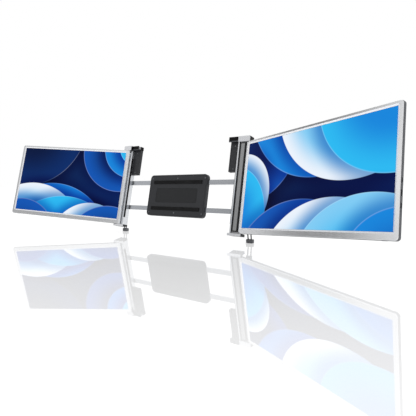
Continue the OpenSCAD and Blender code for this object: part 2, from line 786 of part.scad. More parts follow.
module cover_screws(side) {
    color([0.5, 0.5, 0.51]) on_screen(side) for (u = screw_us, w = screw_ws) translate([u, 0, w]) union() {
        rod_y(screw_r, rim_v + 1, half_t - screw_head_t);
        rod_y(screw_head_r, half_t - 0.1 - screw_head_t, half_t - 0.1);
    }
}

centre_housing();
centre_cover();
rail_guides();
lid_pads();
column_tube(LEFT);  // left_column_tube
top_cap(LEFT);  // left_top_cap
top_plate(LEFT);  // left_top_plate
bottom_cap(LEFT);  // left_bottom_cap
bottom_plate(LEFT);  // left_bottom_plate
edge_pad(LEFT);  // left_edge_pad
rails(LEFT);  // left_rails
clamp_housing(LEFT);  // left_clamp_housing
clamp_arm(LEFT);  // left_clamp_arm
arm_bracket(LEFT);  // left_arm_bracket
arm_pad(LEFT);  // left_arm_pad
clamp_springs(LEFT);  // left_clamp_springs
leg_bracket(LEFT);  // left_leg_bracket
leg_pin(LEFT);  // left_leg_pin
leg_sleeve(LEFT);  // left_leg_sleeve
leg_rods(LEFT);  // left_leg_rods
foot(LEFT);  // left_foot
column_tube(RIGHT);  // right_column_tube
top_cap(RIGHT);  // right_top_cap
top_plate(RIGHT);  // right_top_plate
bottom_cap(RIGHT);  // right_bottom_cap
bottom_plate(RIGHT);  // right_bottom_plate
edge_pad(RIGHT);  // right_edge_pad
rails(RIGHT);  // right_rails
clamp_housing(RIGHT);  // right_clamp_housing
clamp_arm(RIGHT);  // right_clamp_arm
arm_bracket(RIGHT);  // right_arm_bracket
arm_pad(RIGHT);  // right_arm_pad
clamp_springs(RIGHT);  // right_clamp_springs
leg_bracket(RIGHT);  // right_leg_bracket
leg_pin(RIGHT);  // right_leg_pin
leg_sleeve(RIGHT);  // right_leg_sleeve
leg_rods(RIGHT);  // right_leg_rods
foot(RIGHT);  // right_foot
spine_body();
spine_inlay();
spine_links();
spine_pins();
front_frame(LEFT);  // left_front_frame
display(LEFT);  // left_display
rear_cover(LEFT);  // left_rear_cover
control_board(LEFT);  // left_control_board
sockets(LEFT);  // left_sockets
hinge_barrel(LEFT);  // left_hinge_barrel
hinge_pins(LEFT);  // left_hinge_pins
power_button(LEFT);  // left_power_button
cover_screws(LEFT);  // left_cover_screws
front_frame(RIGHT);  // right_front_frame
display(RIGHT);  // right_display
rear_cover(RIGHT);  // right_rear_cover
control_board(RIGHT);  // right_control_board
sockets(RIGHT);  // right_sockets
hinge_barrel(RIGHT);  // right_hinge_barrel
hinge_pins(RIGHT);  // right_hinge_pins
power_button(RIGHT);  // right_power_button
cover_screws(RIGHT);  // right_cover_screws
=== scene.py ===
"""Finished surfaces of the laptop screen extender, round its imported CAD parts.

Sizes are in millimetres on the plane that the frame hangs on: x to the viewer's right, y back from it, z up it.
The plane leans back, so every piece is built upright and then leaned. A side's pieces are built on the right and
mirrored for the left.
"""

import json
import math
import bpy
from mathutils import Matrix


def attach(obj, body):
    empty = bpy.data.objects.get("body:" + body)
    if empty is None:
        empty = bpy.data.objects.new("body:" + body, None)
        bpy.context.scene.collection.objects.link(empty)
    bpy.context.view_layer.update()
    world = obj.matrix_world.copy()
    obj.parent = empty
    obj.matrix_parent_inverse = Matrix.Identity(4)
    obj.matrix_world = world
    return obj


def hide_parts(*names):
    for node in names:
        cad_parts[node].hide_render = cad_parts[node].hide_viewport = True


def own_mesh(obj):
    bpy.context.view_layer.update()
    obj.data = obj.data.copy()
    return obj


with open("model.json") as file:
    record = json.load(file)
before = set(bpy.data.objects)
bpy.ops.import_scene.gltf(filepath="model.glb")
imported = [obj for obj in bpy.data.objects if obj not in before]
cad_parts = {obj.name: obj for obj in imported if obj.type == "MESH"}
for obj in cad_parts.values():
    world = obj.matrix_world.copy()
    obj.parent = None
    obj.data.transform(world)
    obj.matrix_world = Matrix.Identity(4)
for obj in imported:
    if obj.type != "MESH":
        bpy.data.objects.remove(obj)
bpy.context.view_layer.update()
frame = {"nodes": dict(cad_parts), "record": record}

from types import SimpleNamespace

import bmesh
import bpy
import numpy as np
from mathutils import Matrix, Vector

# ---- Sizes: the part's own, and those of its finer forms ----

MM = 0.001
TILT = 12.0
LID_W, LID_T, LID_H, LID_RISE = 349.3, 4.5, 230.7, 11.8
HALF_T, RIM_T, BEVEL = 4.0, 1.8, 2.8
VIEW_W, VIEW_H = 344.2, 193.6
RIM_HINGE, RIM_OUTER, RIM_TOP, RIM_FOOT = 7.0, 8.6, 7.0, 12.5
SCREEN_W, SCREEN_H = RIM_HINGE + VIEW_W + RIM_OUTER, RIM_FOOT + VIEW_H + RIM_TOP
CORNER_R, REAR_WALL, SIDE_WALL, REAR_PROUD = 5.0, 1.4, 1.6, 0.5
SCREEN_RISE, SCREEN_ANGLE, BORDER = 14.7, 21.3, 0.3
SCREEN_TOP = SCREEN_RISE + SCREEN_H
RIM_V, ROUND = -HALF_T + RIM_T, HALF_T - 0.02
BARREL_U = 5.5
SOCKET_WS, SOCKET_T, SOCKET_D = (51.5, 70.5, 89.5), 3.2, 6.4
DATA_W, PICTURE_W = 8.94, 11.2
BUTTON_U, BUTTON_L, BUTTON_W, BUTTON_OUT = SCREEN_W - 22, 9.0, 2.6, 0.9
SCREW_US, SCREW_WS, SCREW_R = (40.0, SCREEN_W / 2, SCREEN_W - 40), (6.15, SCREEN_H - 3.8), 1.6
LOW_NOTCH, TOP_NOTCH, NOTCH_U = 3.2, 1.4, 4.4
VENT_U, VENT_WS, VENT_W, VENT_PITCH, COVER_GROOVE = 62.0, (15, 25), 1.6, 4.2, 9.0

COLUMN_X, COLUMN_Y, COLUMN_W, COLUMN_BACK = 176.0, 8.5, 23.0, 20.5
CAP_PLATE, CAP_Z, TOP_CAP_H, STRIP_ZS = 1.4, SCREEN_TOP + 0.4, 13.3, (35, 205)
LOW_CAP_Z, LOW_CAP_H = SCREEN_RISE - 0.5, 5.9
ARM_X, ARM_W, ARM_Z, ARM_H = 151.0, 24.6, LID_H + 0.3, 9.8
ARM_LIP_Y, ARM_LIP, ARM_BLOCK_Y, ARM_BLOCK, ARM_BITE, ARM_PAD_T = -2.5, 1.7, 8.0, 11.0, 2.3, 1.3
CLAMP_Y, CLAMP_D, CLAMP_TOP, CLAMP_LOW, CLAMP_ROD_R = 13.25, 10.5, LID_H, LID_H - 72, 2.5
CLAMP_LIFT, SPRING_TURNS, SPRING_WIRE = 20.0, 9, 0.45
ROD_XS = (ARM_X + ARM_W / 2 - 6, ARM_X + ARM_W / 2 + 6)

HUB_W, HUB_H, HUB_D, HUB_Y, HUB_RISE, HUB_R, HUB_WALL = 190.0, 110.0, 10.6, 8.4, 100.0, 10.0, 2.0
PAD_Y, PAD_T, PAD_H, PAD_W, HUB_COVER = 4.7, 2.2, 9.0, 160.0, 1.5
HUB_SLOT_L, HUB_SLOT_T, RECESS_W, RECESS_H = 64.0, 1.8, 136.0, 38.0
RAIL_Y, RAIL_T, RAIL_H, RAIL_ZS, RAIL_END, STOP_L = 11.4, 4.0, 12.0, (65.0, 135.0), 20.0, 6.0

LEG_X, LEG_Y, LEG_RISE, LEG_LEAN = LID_W / 2 + 32.4, 28.0, 47.8, 20.3
SLEEVE_W, SLEEVE_T, SLEEVE_L, ROD_R, ROD_GAP = 12.6, 8.0, 24.0, 1.5, 8.2
FOOT_W, FOOT_D, FOOT_H, LEG_PIN_R, EAR_T, EAR_R = 17.0, 10.6, 8.6, 1.5, 2.2, 4.5
PIVOT_Z = LEG_RISE * math.cos(math.radians(TILT)) - LEG_Y * math.sin(math.radians(TILT))
LEG_L = (PIVOT_Z + LID_RISE) / math.cos(math.radians(LEG_LEAN - TILT))
SPINE_REACH, SPINE_END = 17.4, 12.8
SPINE_LOW, SPINE_HIGH = SCREEN_RISE + LOW_NOTCH, SCREEN_TOP - TOP_NOTCH
INLAY_U, INLAY_W, INLAY_T, INLAY_SINK, INLAY_END = 0.5, 9.4, 0.8, 0.15, 2.3

LEFT = SimpleNamespace(name="left", sign=-1, lip=6.2, cap_w=28.0, cap_front=-7.7, hinge=(186.6, -4.3))
RIGHT = SimpleNamespace(name="right", sign=1, lip=3.6, cap_w=30.5, cap_front=-1.8, hinge=(201.4, 4.0))
SPINE_AXIS = (184.0, 4.0)


# ---- Places ----

def turn(axis, degrees):
    """3 x 3 matrix of a turn round one axis: cosines on its other two axes, the sines across them."""
    i, j = {"x": (1, 2), "y": (2, 0), "z": (0, 1)}[axis]
    matrix = np.eye(3)
    matrix[i, i] = matrix[j, j] = math.cos(math.radians(degrees))
    matrix[j, i] = math.sin(math.radians(degrees))
    matrix[i, j] = -matrix[j, i]
    return matrix


LEAN = turn("x", -TILT)
LID = (LEAN, np.zeros(3))


def on_side(side, at=(0, 0, 0), turned_by=np.eye(3)):
    """Place on one side: the turn, then the move to at, then the mirror, then the lean."""
    mirror = LEAN @ np.diag([side.sign, 1, 1])
    return mirror @ turned_by, mirror @ np.array(at, float)


def on_screen(side):
    """A screen's own frame: u outwards from the hinge axis, v backwards, w up from the lower edge."""
    return on_side(side, (*side.hinge, SCREEN_RISE), turn("z", -SCREEN_ANGLE))


def on_leg(side, leaning=True):
    return on_side(side, (LEG_X, LEG_Y, LEG_RISE), turn("x", LEG_LEAN if leaning else 0))


ON_SPINE = on_side(RIGHT, (*SPINE_AXIS, 0))


# ---- Shapes ----

def outline(corners, radius, steps=5):
    """Closed outline with round corners, as a function of how far it is drawn in.

    A corner moves in along its bisector by the distance over the cosine of half its turn. Its arc starts at the
    corner less the radius times the tangent of half the turn, and turns about a centre one radius inwards.
    The radius shrinks at an outward corner, and grows at an inward one, by the distance drawn in.
    """
    corners = np.array(corners, float)
    radius = np.broadcast_to(np.array(radius, float), len(corners))
    after = np.roll(corners, -1, 0) - corners
    after /= np.linalg.norm(after, axis=1, keepdims=True)
    before = np.roll(after, 1, 0)
    inward = np.stack([-before[:, 1], before[:, 0]], -1)
    inward_after = np.roll(inward, -1, 0)
    angle = np.arctan2(before[:, 0] * after[:, 1] - before[:, 1] * after[:, 0], (before * after).sum(1))
    side = np.sign(angle)
    share = np.linspace(0, 1, steps + 1)

    def drawn(distance):
        moved = corners + distance * (inward + inward_after) / (1 + (inward * inward_after).sum(1))[:, None]
        reach = np.maximum(radius - side * distance, 0.02)
        start = moved - before * (reach * np.tan(np.abs(angle) / 2))[:, None]
        spoke = -inward * (side * reach)[:, None]
        centre = start - spoke
        part = angle[:, None] * share
        x = centre[:, :1] + spoke[:, :1] * np.cos(part) - spoke[:, 1:] * np.sin(part)
        y = centre[:, 1:] + spoke[:, :1] * np.sin(part) + spoke[:, 1:] * np.cos(part)
        return np.stack([x, y], -1).reshape(-1, 2)

    return drawn


def rectangle(low, high, radius, steps=5):
    """Outline of a rectangle. The radius is one number, or one for each corner in their order."""
    return outline([low, (high[0], low[1]), high, (low[0], high[1])], radius, steps)


def on_axis(flat, at, axis):
    """Points of a flat outline set at one place along an axis."""
    along = np.full(len(flat), at)
    x, y = flat[:, 0], flat[:, 1]
    return np.stack({"x": (along, x, y), "y": (x, along, y), "z": (x, y, along)}[axis], -1)


def skin(rings, closed=False):
    """Surface through rings of equal length: quads from each ring to the next. The two end rings are filled,
    or joined to each other where the rings close on themselves."""
    count, size, _ = rings.shape
    index = np.arange(count * size).reshape(count, size)
    low, high = (index, np.roll(index, -1, 0)) if closed else (index[:-1], index[1:])
    faces = np.stack([low, np.roll(low, -1, 1), np.roll(high, -1, 1), high], -1).reshape(-1, 4).tolist()
    if not closed:
        faces += [index[0][::-1].tolist(), index[-1].tolist()]
    return rings.reshape(-1, 3), faces


def carried(shape, stations, axis, closed=False):
    """An outline carried along an axis. Each station is how far it is drawn in and its place on the axis."""
    return skin(np.stack([on_axis(shape(inset), at, axis) for inset, at in stations]), closed)


def prism(low, high, radius, start, end, axis="y", steps=5):
    """A round-cornered rectangle carried straight from one place on an axis to another."""
    return carried(rectangle(low, high, radius, steps), [(0, start), (0, end)], axis)


def quarter(edge, steps=3):
    """Quarter circle of an eased edge: inset edge (1 - sin t) against depth edge (1 - cos t)."""
    t = np.linspace(0, math.pi / 2, steps + 1)
    return np.stack([edge * (1 - np.sin(t)), edge * (1 - np.cos(t))], -1)


def eased(low, high, edge, edge_high=None):
    """Stations from low to high whose two ends draw in along quarter circles."""
    edge_high = edge if edge_high is None else edge_high
    first, last = quarter(edge) * [1, 1] + [0, low], quarter(edge_high) * [1, -1] + [0, high]
    return np.concatenate([first, last[::-1]])


def block(low, high, corner, edge, axis="z", edge_high=None, steps=5):
    """A box whose corners are round across one axis and whose edges are eased at its ends."""
    k = "xyz".index(axis)
    low2, high2 = np.delete(low, k), np.delete(high, k)
    return carried(rectangle(low2, high2, corner, steps), eased(low[k], high[k], edge, edge_high), axis)


def turned(profile, centre, axis, sides=24, six=()):
    """A turned piece: a circle carried along an axis with the radius that the profile gives. At the stations
    in six the circle is a hexagon, of radius r cos 30 over the cosine of the angle from the nearest flat."""
    angle = np.linspace(0, 2 * math.pi, sides, endpoint=False)
    flat = math.cos(math.pi / 6) / np.cos((angle % (math.pi / 3)) - math.pi / 6)
    rings = []
    for i, (radius, at) in enumerate(profile):
        r = radius * (flat if i in six else 1)
        circle = np.stack([centre[0] + r * np.cos(angle), centre[1] + r * np.sin(angle)], -1)
        rings.append(on_axis(circle, at, axis))
    return skin(np.stack(rings))


def bore(radius, start, end, centre, axis="y"):
    """A plain cylinder from one place on an axis to another."""
    return turned([(radius, start), (radius, end)], centre, axis)


def coil(middle, radius, wire, low, high, turns, steps=20):
    """A wound spring along z: at each step its wire's circle stands on the helix, which rises evenly but for
    its first and last turn, where the wire lies on itself."""
    turn_at = np.linspace(0, turns, turns * steps + 1)
    closed, length = 2.1 * wire, high - low - 2 * wire
    rise = np.interp(turn_at, [0, 1, turns - 1, turns], [0, closed, length - closed, length])
    angle = 2 * math.pi * turn_at[:, None]
    section = np.linspace(0, 2 * math.pi, 8, endpoint=False)
    reach = radius + wire * np.cos(section)
    height = low + wire + rise[:, None] + wire * np.sin(section)
    return skin(np.stack([middle[0] + reach * np.cos(angle), middle[1] + reach * np.sin(angle), height], -1))


def tray(shape, inner, front, back, floor, edge, axis="y"):
    """An open box: the inner outline from its floor to the chamfered rim, then the outer one back to its eased
    edge."""
    rings = [on_axis(inner(0), back - floor, axis), on_axis(inner(0), front, axis)]
    outside = [(0.2, front), (0, front + 0.2), *(quarter(edge) * [1, -1] + [0, back])[::-1]]
    rings += [on_axis(shape(inset), at, axis) for inset, at in outside]
    return skin(np.stack(rings))


def ribbed(shape, low, high, pitch, depth, axis):
    """A strip with a groove at every pitch: the outline is drawn in by the depth and out again, over a third
    of the pitch."""
    count = int((high - low) / pitch)
    step = (high - low) / count
    one = np.array([[0, 0.34], [depth, 0.42], [depth, 0.58], [0, 0.66]]) * [1, step]
    grooves = (one[None] + (np.arange(count) * step + low)[:, None, None] * [0, 1]).reshape(-1, 2)
    first, last = [[depth, low], [0, low + depth]], [[0, high - depth], [depth, high]]
    return carried(shape, np.concatenate([first, grooves, last]), axis)


def grooved(low, high, places, width, depth):
    """Corners of a rectangle with grooves in its upper edge."""
    corners = [low, (high[0], low[1]), high]
    for place in sorted(places, reverse=True):
        right, left, bottom = place + width / 2, place - width / 2, high[1] - depth
        corners += [(right, high[1]), (right, bottom), (left, bottom), (left, high[1])]
    return corners + [(low[0], high[1])]


def moat(shape, near, far, low, high, axis="y"):
    """A ring-shaped solid along an outline, between two distances drawn in and two places on the axis."""
    return carried(shape, [(near, low), (near, high), (far, high), (far, low)], axis, closed=True)


def joined(shells):
    """Several closed shells as one list of points and one of faces."""
    points, faces, start = [], [], 0
    for shell_points, shell_faces in shells:
        points.append(shell_points)
        faces += [[start + i for i in face] for face in shell_faces]
        start += len(shell_points)
    return np.concatenate(points), faces


def mesh_of(name, shells, place):
    """Mesh of the shells at their place, in metres, with every face turned outwards."""
    points, faces = joined(shells)
    matrix, origin = place
    mesh = bpy.data.meshes.new(name)
    mesh.from_pydata(((points @ matrix.T + origin) * MM).tolist(), [], faces)
    work = bmesh.new()
    work.from_mesh(mesh)
    bmesh.ops.remove_doubles(work, verts=work.verts, dist=1e-7)
    bmesh.ops.dissolve_degenerate(work, edges=work.edges, dist=1e-7)
    bmesh.ops.recalc_face_normals(work, faces=work.faces)
    work.to_mesh(mesh)
    work.free()
    return mesh


def baked(piece):
    """Leaves the piece with the mesh that its modifiers give."""
    bpy.context.view_layer.update()
    result = bpy.data.meshes.new_from_object(piece.evaluated_get(bpy.context.evaluated_depsgraph_get()))
    piece.modifiers.clear()
    old, piece.data = piece.data, result
    bpy.data.meshes.remove(old)


def carved(piece, shells, place):
    """Cuts the shells out of the piece with an exact Boolean."""
    tool = bpy.data.objects.new("cutter", mesh_of("cutter", shells, place))
    bpy.context.collection.objects.link(tool)
    cut = piece.modifiers.new("cut", "BOOLEAN")
    cut.operation, cut.solver, cut.object = "DIFFERENCE", "EXACT", tool
    baked(piece)
    bpy.data.objects.remove(tool)


def make(name, shells, place, finish, body, stands_for=(), slot=None, cuts=(), sharp=38):
    """One finished piece: its mesh at its place, its cuts, shading by area between the sharp edges, its finish,
    the body that it moves with and the CAD nodes that it stands for."""
    piece = bpy.data.objects.new(name, mesh_of(name, shells, place))
    bpy.context.collection.objects.link(piece)
    if cuts:
        carved(piece, cuts, place)
    piece.data.shade_smooth()
    piece.data.set_sharp_from_angle(angle=math.radians(sharp))
    weighted = piece.modifiers.new("weighted", "WEIGHTED_NORMAL")
    weighted.keep_sharp = True
    weighted.weight = 80
    baked(piece)
    piece.data.name = name
    piece.data.materials.clear()
    piece.data.materials.append(finish)
    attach(piece, body)
    if stands_for:
        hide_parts(*stands_for)
    return piece


SLOT_OF = {row["node"]: row["material_slot"] for row in frame["record"]["subparts"]}


# ---- Finishes ----

def srgb(r, g, b):
    """Colour on the screen's scale of 255 as a linear one."""
    shares = r / 255, g / 255, b / 255
    return tuple(c / 12.92 if c <= 0.04045 else ((c + 0.055) / 1.055) ** 2.4 for c in shares) + (1.0,)


class Field:
    """A number that varies over a surface. Sums, differences and products add Math nodes."""

    def __init__(self, finish, socket):
        self.finish, self.socket = finish, socket

    def maths(self, operation, *others):
        values = dict(enumerate((self, *others)))
        return Field(self.finish, self.finish.node("Math", {"operation": operation}, values).outputs[0])

    def __add__(self, other):
        return self.maths("ADD", other)

    def __sub__(self, other):
        return self.maths("SUBTRACT", other)

    def __rsub__(self, other):
        return self.maths("MULTIPLY", -1.0).maths("ADD", other)

    def __mul__(self, other):
        return self.maths("MULTIPLY", other)

    def smooth(self, low, high, start=0.0, end=1.0):
        """From start, where the number is low, to end, where it is high, along a smooth step."""
        node = self.finish.node("MapRange", {"interpolation_type": "SMOOTHSTEP"},
                                {0: self, 1: low, 2: high, 3: start, 4: end})
        return Field(self.finish, node.outputs[0])

    __radd__, __rmul__ = __add__, __mul__


class Nodes:
    """The emptied node tree of a material or of the world."""

    def __init__(self, owner, coordinates):
        owner.use_nodes = True
        self.tree = owner.node_tree
        self.tree.nodes.clear()
        self.place = self.node("TexCoord").outputs[coordinates]

    def node(self, kind, settings=(), inputs=()):
        """One node: its settings first, then the values or links of its sockets."""
        node = self.tree.nodes.new("ShaderNode" + kind)
        for key, value in dict(settings).items():
            setattr(node, key, value)
        for key, value in dict(inputs).items():
            source = value.socket if isinstance(value, Field) else value
            if isinstance(source, bpy.types.NodeSocket):
                self.tree.links.new(source, node.inputs[key])
            else:
                node.inputs[key].default_value = source
        return node

    def dot(self, way):
        """The place's length along a vector, in units of one over the vector's length."""
        node = self.node("VectorMath", {"operation": "DOT_PRODUCT"}, {0: self.place, 1: tuple(way)})
        return Field(self, node.outputs["Value"])


class Finish(Nodes):
    """A material with one shader, whose even values are set on its own sockets."""

    def __init__(self, name, **even):
        self.material = bpy.data.materials.new(name)
        super().__init__(self.material, "Object")
        even = {key.replace("_", " "): value for key, value in even.items()}
        self.shader = self.node("BsdfPrincipled", {}, even)
        self.out = self.node("OutputMaterial", {}, {"Surface": self.shader.outputs[0]})

    def drive(self, **sockets):
        """Links fields or colours to the shader's sockets."""
        for key, value in sockets.items():
            source = value.socket if isinstance(value, Field) else value
            self.tree.links.new(source, self.shader.inputs[key.replace("_", " ")])

    def stretched(self, size):
        """The surface's own coordinates, divided by a size in metres along each axis."""
        return self.node("VectorMath", {"operation": "DIVIDE"}, {0: self.place, 1: size}).outputs[0]

    def grain(self, size, detail=2.0, rough=0.5):
        """Noise from 0 to 1 whose spots are about one size wide; the size may differ along x, y and z."""
        size = (size, size, size) if isinstance(size, (int, float)) else size
        inputs = {"Vector": self.stretched(size), "Scale": 1.0, "Detail": detail, "Roughness": rough}
        return Field(self, self.node("TexNoise", {}, inputs).outputs[0])

    def blend(self, share, low, high, way="MIX"):
        """Colour between low and high."""
        settings = {"data_type": "RGBA", "blend_type": way}
        return self.node("Mix", settings, {0: share, 6: low, 7: high}).outputs[2]

    def bump(self, height, depth):
        """Relief of a depth in metres from a field from 0 to 1."""
        node = self.node("Bump", {}, {"Strength": 1.0, "Distance": depth, "Height": height})
        self.drive(Normal=node.outputs["Normal"])


def shaded(colour, share):
    return tuple(c * share for c in colour[:3]) + (1.0,)


def anodised(name, colour, roughness=0.34, metallic=0.9, blast=0.0004, depth=0.0000003, variation=0.05):
    """Blasted and anodised aluminium: fine dull relief, and slow drifts in tone and gloss."""
    finish = Finish(name, Metallic=metallic, IOR=1.5)
    drift, cloud, grit = finish.grain(0.06, 3), finish.grain(0.012, 3), finish.grain(blast, 2)
    dark, light = shaded(colour, 1 - variation), shaded(colour, 1 + variation * 0.5)
    finish.drive(Base_Color=finish.blend(drift * 0.6 + cloud * 0.4, dark, light),
                 Roughness=drift * 0.04 + grit * 0.06 + cloud * 0.02 + (roughness - 0.06))
    finish.bump(grit, depth)
    return finish.material


def brushed(name, colour, along, roughness=0.3, metallic=0.95, depth=0.000004):
    """Ground or brushed metal: noise drawn out along one axis, in tone, gloss and relief."""
    finish = Finish(name, Metallic=metallic)
    fine = tuple(0.03 if k == along else 0.00025 for k in range(3))
    wide = tuple(0.12 if k == along else 0.0015 for k in range(3))
    lines, bands, drift = finish.grain(fine, 2), finish.grain(wide, 2), finish.grain(0.05, 2)
    finish.drive(Base_Color=finish.blend(lines * 0.5 + bands * 0.5, shaded(colour, 0.86), shaded(colour, 1.08)),
                 Roughness=lines * 0.14 + drift * 0.06 + (roughness - 0.1))
    finish.bump(lines, depth)
    return finish.material


def polished(name, colour, roughness=0.08):
    """Plated metal: almost a mirror, with faint smears."""
    finish = Finish(name, Metallic=1.0)
    smear, drift = finish.grain((0.004, 0.004, 0.012), 3), finish.grain(0.03, 2)
    finish.drive(Base_Color=finish.blend(drift, shaded(colour, 0.94), colour),
                 Roughness=smear * 0.07 + drift * 0.03 + (roughness - 0.04))
    finish.bump(smear, 0.000001)
    return finish.material


def moulded(name, colour, roughness=0.45, grain=0.0005, depth=0.00001, variation=0.14, shine=0.3):
    """Moulded plastic: an even fine texture from the mould, with slow drifts in tone and gloss."""
    finish = Finish(name, Specular_IOR_Level=shine)
    drift, grit = finish.grain(0.045, 3), finish.grain(grain, 1.5)
    finish.drive(Base_Color=finish.blend(drift, shaded(colour, 1 - variation), shaded(colour, 1 + variation)),
                 Roughness=drift * 0.08 + grit * 0.1 + (roughness - 0.09))
    finish.bump(grit, depth)
    return finish.material


def rubbery(name, colour, roughness=0.78):
    """Matt rubber: a soft pore, paler where it is dusty."""
    finish = Finish(name, Specular_IOR_Level=0.2)
    dust, pore = finish.grain(0.02, 4, 0.6), finish.grain(0.0008, 3)
    dusty = tuple(c * 1.25 + 0.004 for c in colour[:3]) + (1.0,)
    finish.drive(Base_Color=finish.blend(dust.smooth(0.35, 0.8), colour, dusty),
                 Roughness=dust * 0.08 + pore * 0.08 + (roughness - 0.08))
    finish.bump(pore, 0.00003)
    return finish.material


def circuit_board():
    """Green solder mask over copper: the copper shows paler along straight tracks."""
    finish = Finish("solder_mask", Coat_Weight=0.3)
    tracks = finish.grain((0.02, 0.02, 0.0012), 0).smooth(0.48, 0.54)
    finish.drive(Base_Color=finish.blend(tracks, srgb(10, 62, 34), srgb(24, 96, 54)),
                 Roughness=0.5 - tracks * 0.15)
    finish.bump(tracks, 0.00003)
    return finish.material


NAVY, DEEP, BLUE, AZURE = srgb(4, 22, 62), srgb(8, 44, 104), srgb(16, 86, 180), srgb(22, 134, 220)
CYAN, SKY, PALE = srgb(44, 186, 242), srgb(130, 204, 244), srgb(236, 243, 252)
UNDER, UNLIT = (0.1, 0.34, 0.64, 1.0), (0.001, 0.001, 0.001, 1)


def lit_picture(name, side, discs):
    """Lit display. Over a slanting ground of navy to blue lie discs, each a soft-edged circle with its own
    shading from rim to middle, a thin light rim and a blue shadow on what it covers: the distance from a disc's
    middle, in picture heights, makes all four. A thin black border runs round the picture, and the panel is lit
    on its front face only."""
    finish = Finish(name, Base_Color=(0.002, 0.002, 0.003, 1), Roughness=0.36, Specular_IOR_Level=0.03,
                    Emission_Strength=1.0)
    matrix, origin = on_screen(side)
    height, wide = VIEW_H * MM, VIEW_W / VIEW_H

    def spot(s, t):
        """World place of a picture point: s to the viewer's right and t up, in picture heights."""
        u = RIM_HINGE + (s * VIEW_H if side.sign > 0 else VIEW_W - s * VIEW_H)
        return (matrix @ np.array([u, RIM_V, RIM_FOOT + t * VIEW_H]) + origin) * MM

    def along(a, b):
        """Field that is 0 at spot a and 1 at spot b."""
        way = spot(*b) - spot(*a)
        way /= way @ way
        return finish.dot(way) - float(spot(*a) @ way)

    colour = finish.blend(along((0.2, 1.1), (wide, -0.1)).smooth(0.0, 1.0), NAVY, DEEP)
    for (s, t), radius, rim, core, depth in discs:
        node = finish.node("VectorMath", {"operation": "DISTANCE"}, {0: finish.place, 1: tuple(spot(s, t))})
        away = Field(finish, node.outputs["Value"])
        inside = away.smooth((radius - 0.003) * height, (radius + 0.003) * height, 1.0, 0.0)
        shadow = away.smooth(radius * height, (radius + 0.2) * height, 0.85, 0.0)
        tone = away.smooth((radius - depth) * height, radius * height)
        glint = away.smooth((radius - 0.014) * height, (radius - 0.002) * height, 0.0, 0.16)
        disc = finish.blend(glint, finish.blend(tone, core, rim), PALE)
        colour = finish.blend(inside, finish.blend(shadow, colour, UNDER, "MULTIPLY"), disc)
    beside = (along((0, 0), (1, 0)) - wide / 2).maths("ABSOLUTE")
    above = (along((0, 0), (0, 1)) - 0.5).maths("ABSOLUTE")
    edge, border = (wide / 2 - beside).maths("MINIMUM", 0.5 - above), BORDER / VIEW_H
    back = matrix @ [0, 1, 0]
    behind = finish.dot(back) - float(back @ (matrix @ [0, RIM_V, 0] + origin)) * MM
    lit = edge.smooth(border * 0.8, border) * behind.smooth(0.0001, 0.0003, 1.0, 0.0)
    finish.drive(Emission_Color=finish.blend(lit, UNLIT, colour))
    return finish.material


SILVER = anodised("silver_frame_finish", srgb(230, 231, 233), 0.21, 0.88, depth=0.00000015, variation=0.02)
# The window's bevel is whiter and less metallic than the frame: a painted highlight where the chamfer catches
# light.
PAINTED_BEVEL_HIGHLIGHT = anodised("cut_bevel_finish", srgb(246, 247, 250), 0.24, 0.45, depth=0.0000001, variation=0.01)
TRIM = anodised("silver_trim_finish", srgb(216, 217, 220), 0.24, 0.6, variation=0.02)
REAR = anodised("rear_cover_finish", srgb(96, 98, 102), 0.42, 0.7, variation=0.08)
COLUMN = anodised("column_finish", srgb(218, 220, 223), 0.22, 0.88)
GREY_METAL = anodised("grey_bridge_finish", srgb(150, 150, 152), 0.34, 0.9)
BLACK = moulded("black_moulding", srgb(9, 9, 10), 0.4, shine=0.14)
DARK = moulded("dark_moulding", srgb(36, 37, 39), 0.46)
HUB = moulded("hub_moulding", srgb(46, 47, 50), 0.5, 0.0007, 0.000016)
GUIDE = moulded("guide_moulding", srgb(226, 225, 218), 0.4)
SPINE = moulded("spine_moulding", srgb(30, 30, 32), 0.3)
TONGUE = moulded("socket_tongue_moulding", srgb(10, 10, 11), 0.5)
BUTTON = moulded("button_moulding", srgb(60, 61, 64), 0.36)
INLAY = brushed("inlay_metal", srgb(158, 159, 160), 2, 0.34)
STEEL = brushed("rail_steel", srgb(176, 179, 184), 0, 0.26)
PIN_STEEL = brushed("pin_steel", srgb(190, 192, 196), 2, 0.24)
SPRING = polished("spring_wire", srgb(180, 182, 186), 0.2)
CHROME = polished("chromed_rod", srgb(62, 64, 67), 0.12)
PLATED = polished("plated_shell", srgb(150, 152, 156), 0.16)
SCREW = brushed("screw_steel_dark", srgb(120, 122, 126), 0, 0.3)
RUBBER = rubbery("black_rubber", srgb(17, 17, 18))
GREY_RUBBER = rubbery("grey_rubber_pad", srgb(70, 71, 74))
FOOT_RUBBER = rubbery("foot_rubber_grey", srgb(100, 101, 104), 0.7)
BOARD = circuit_board()

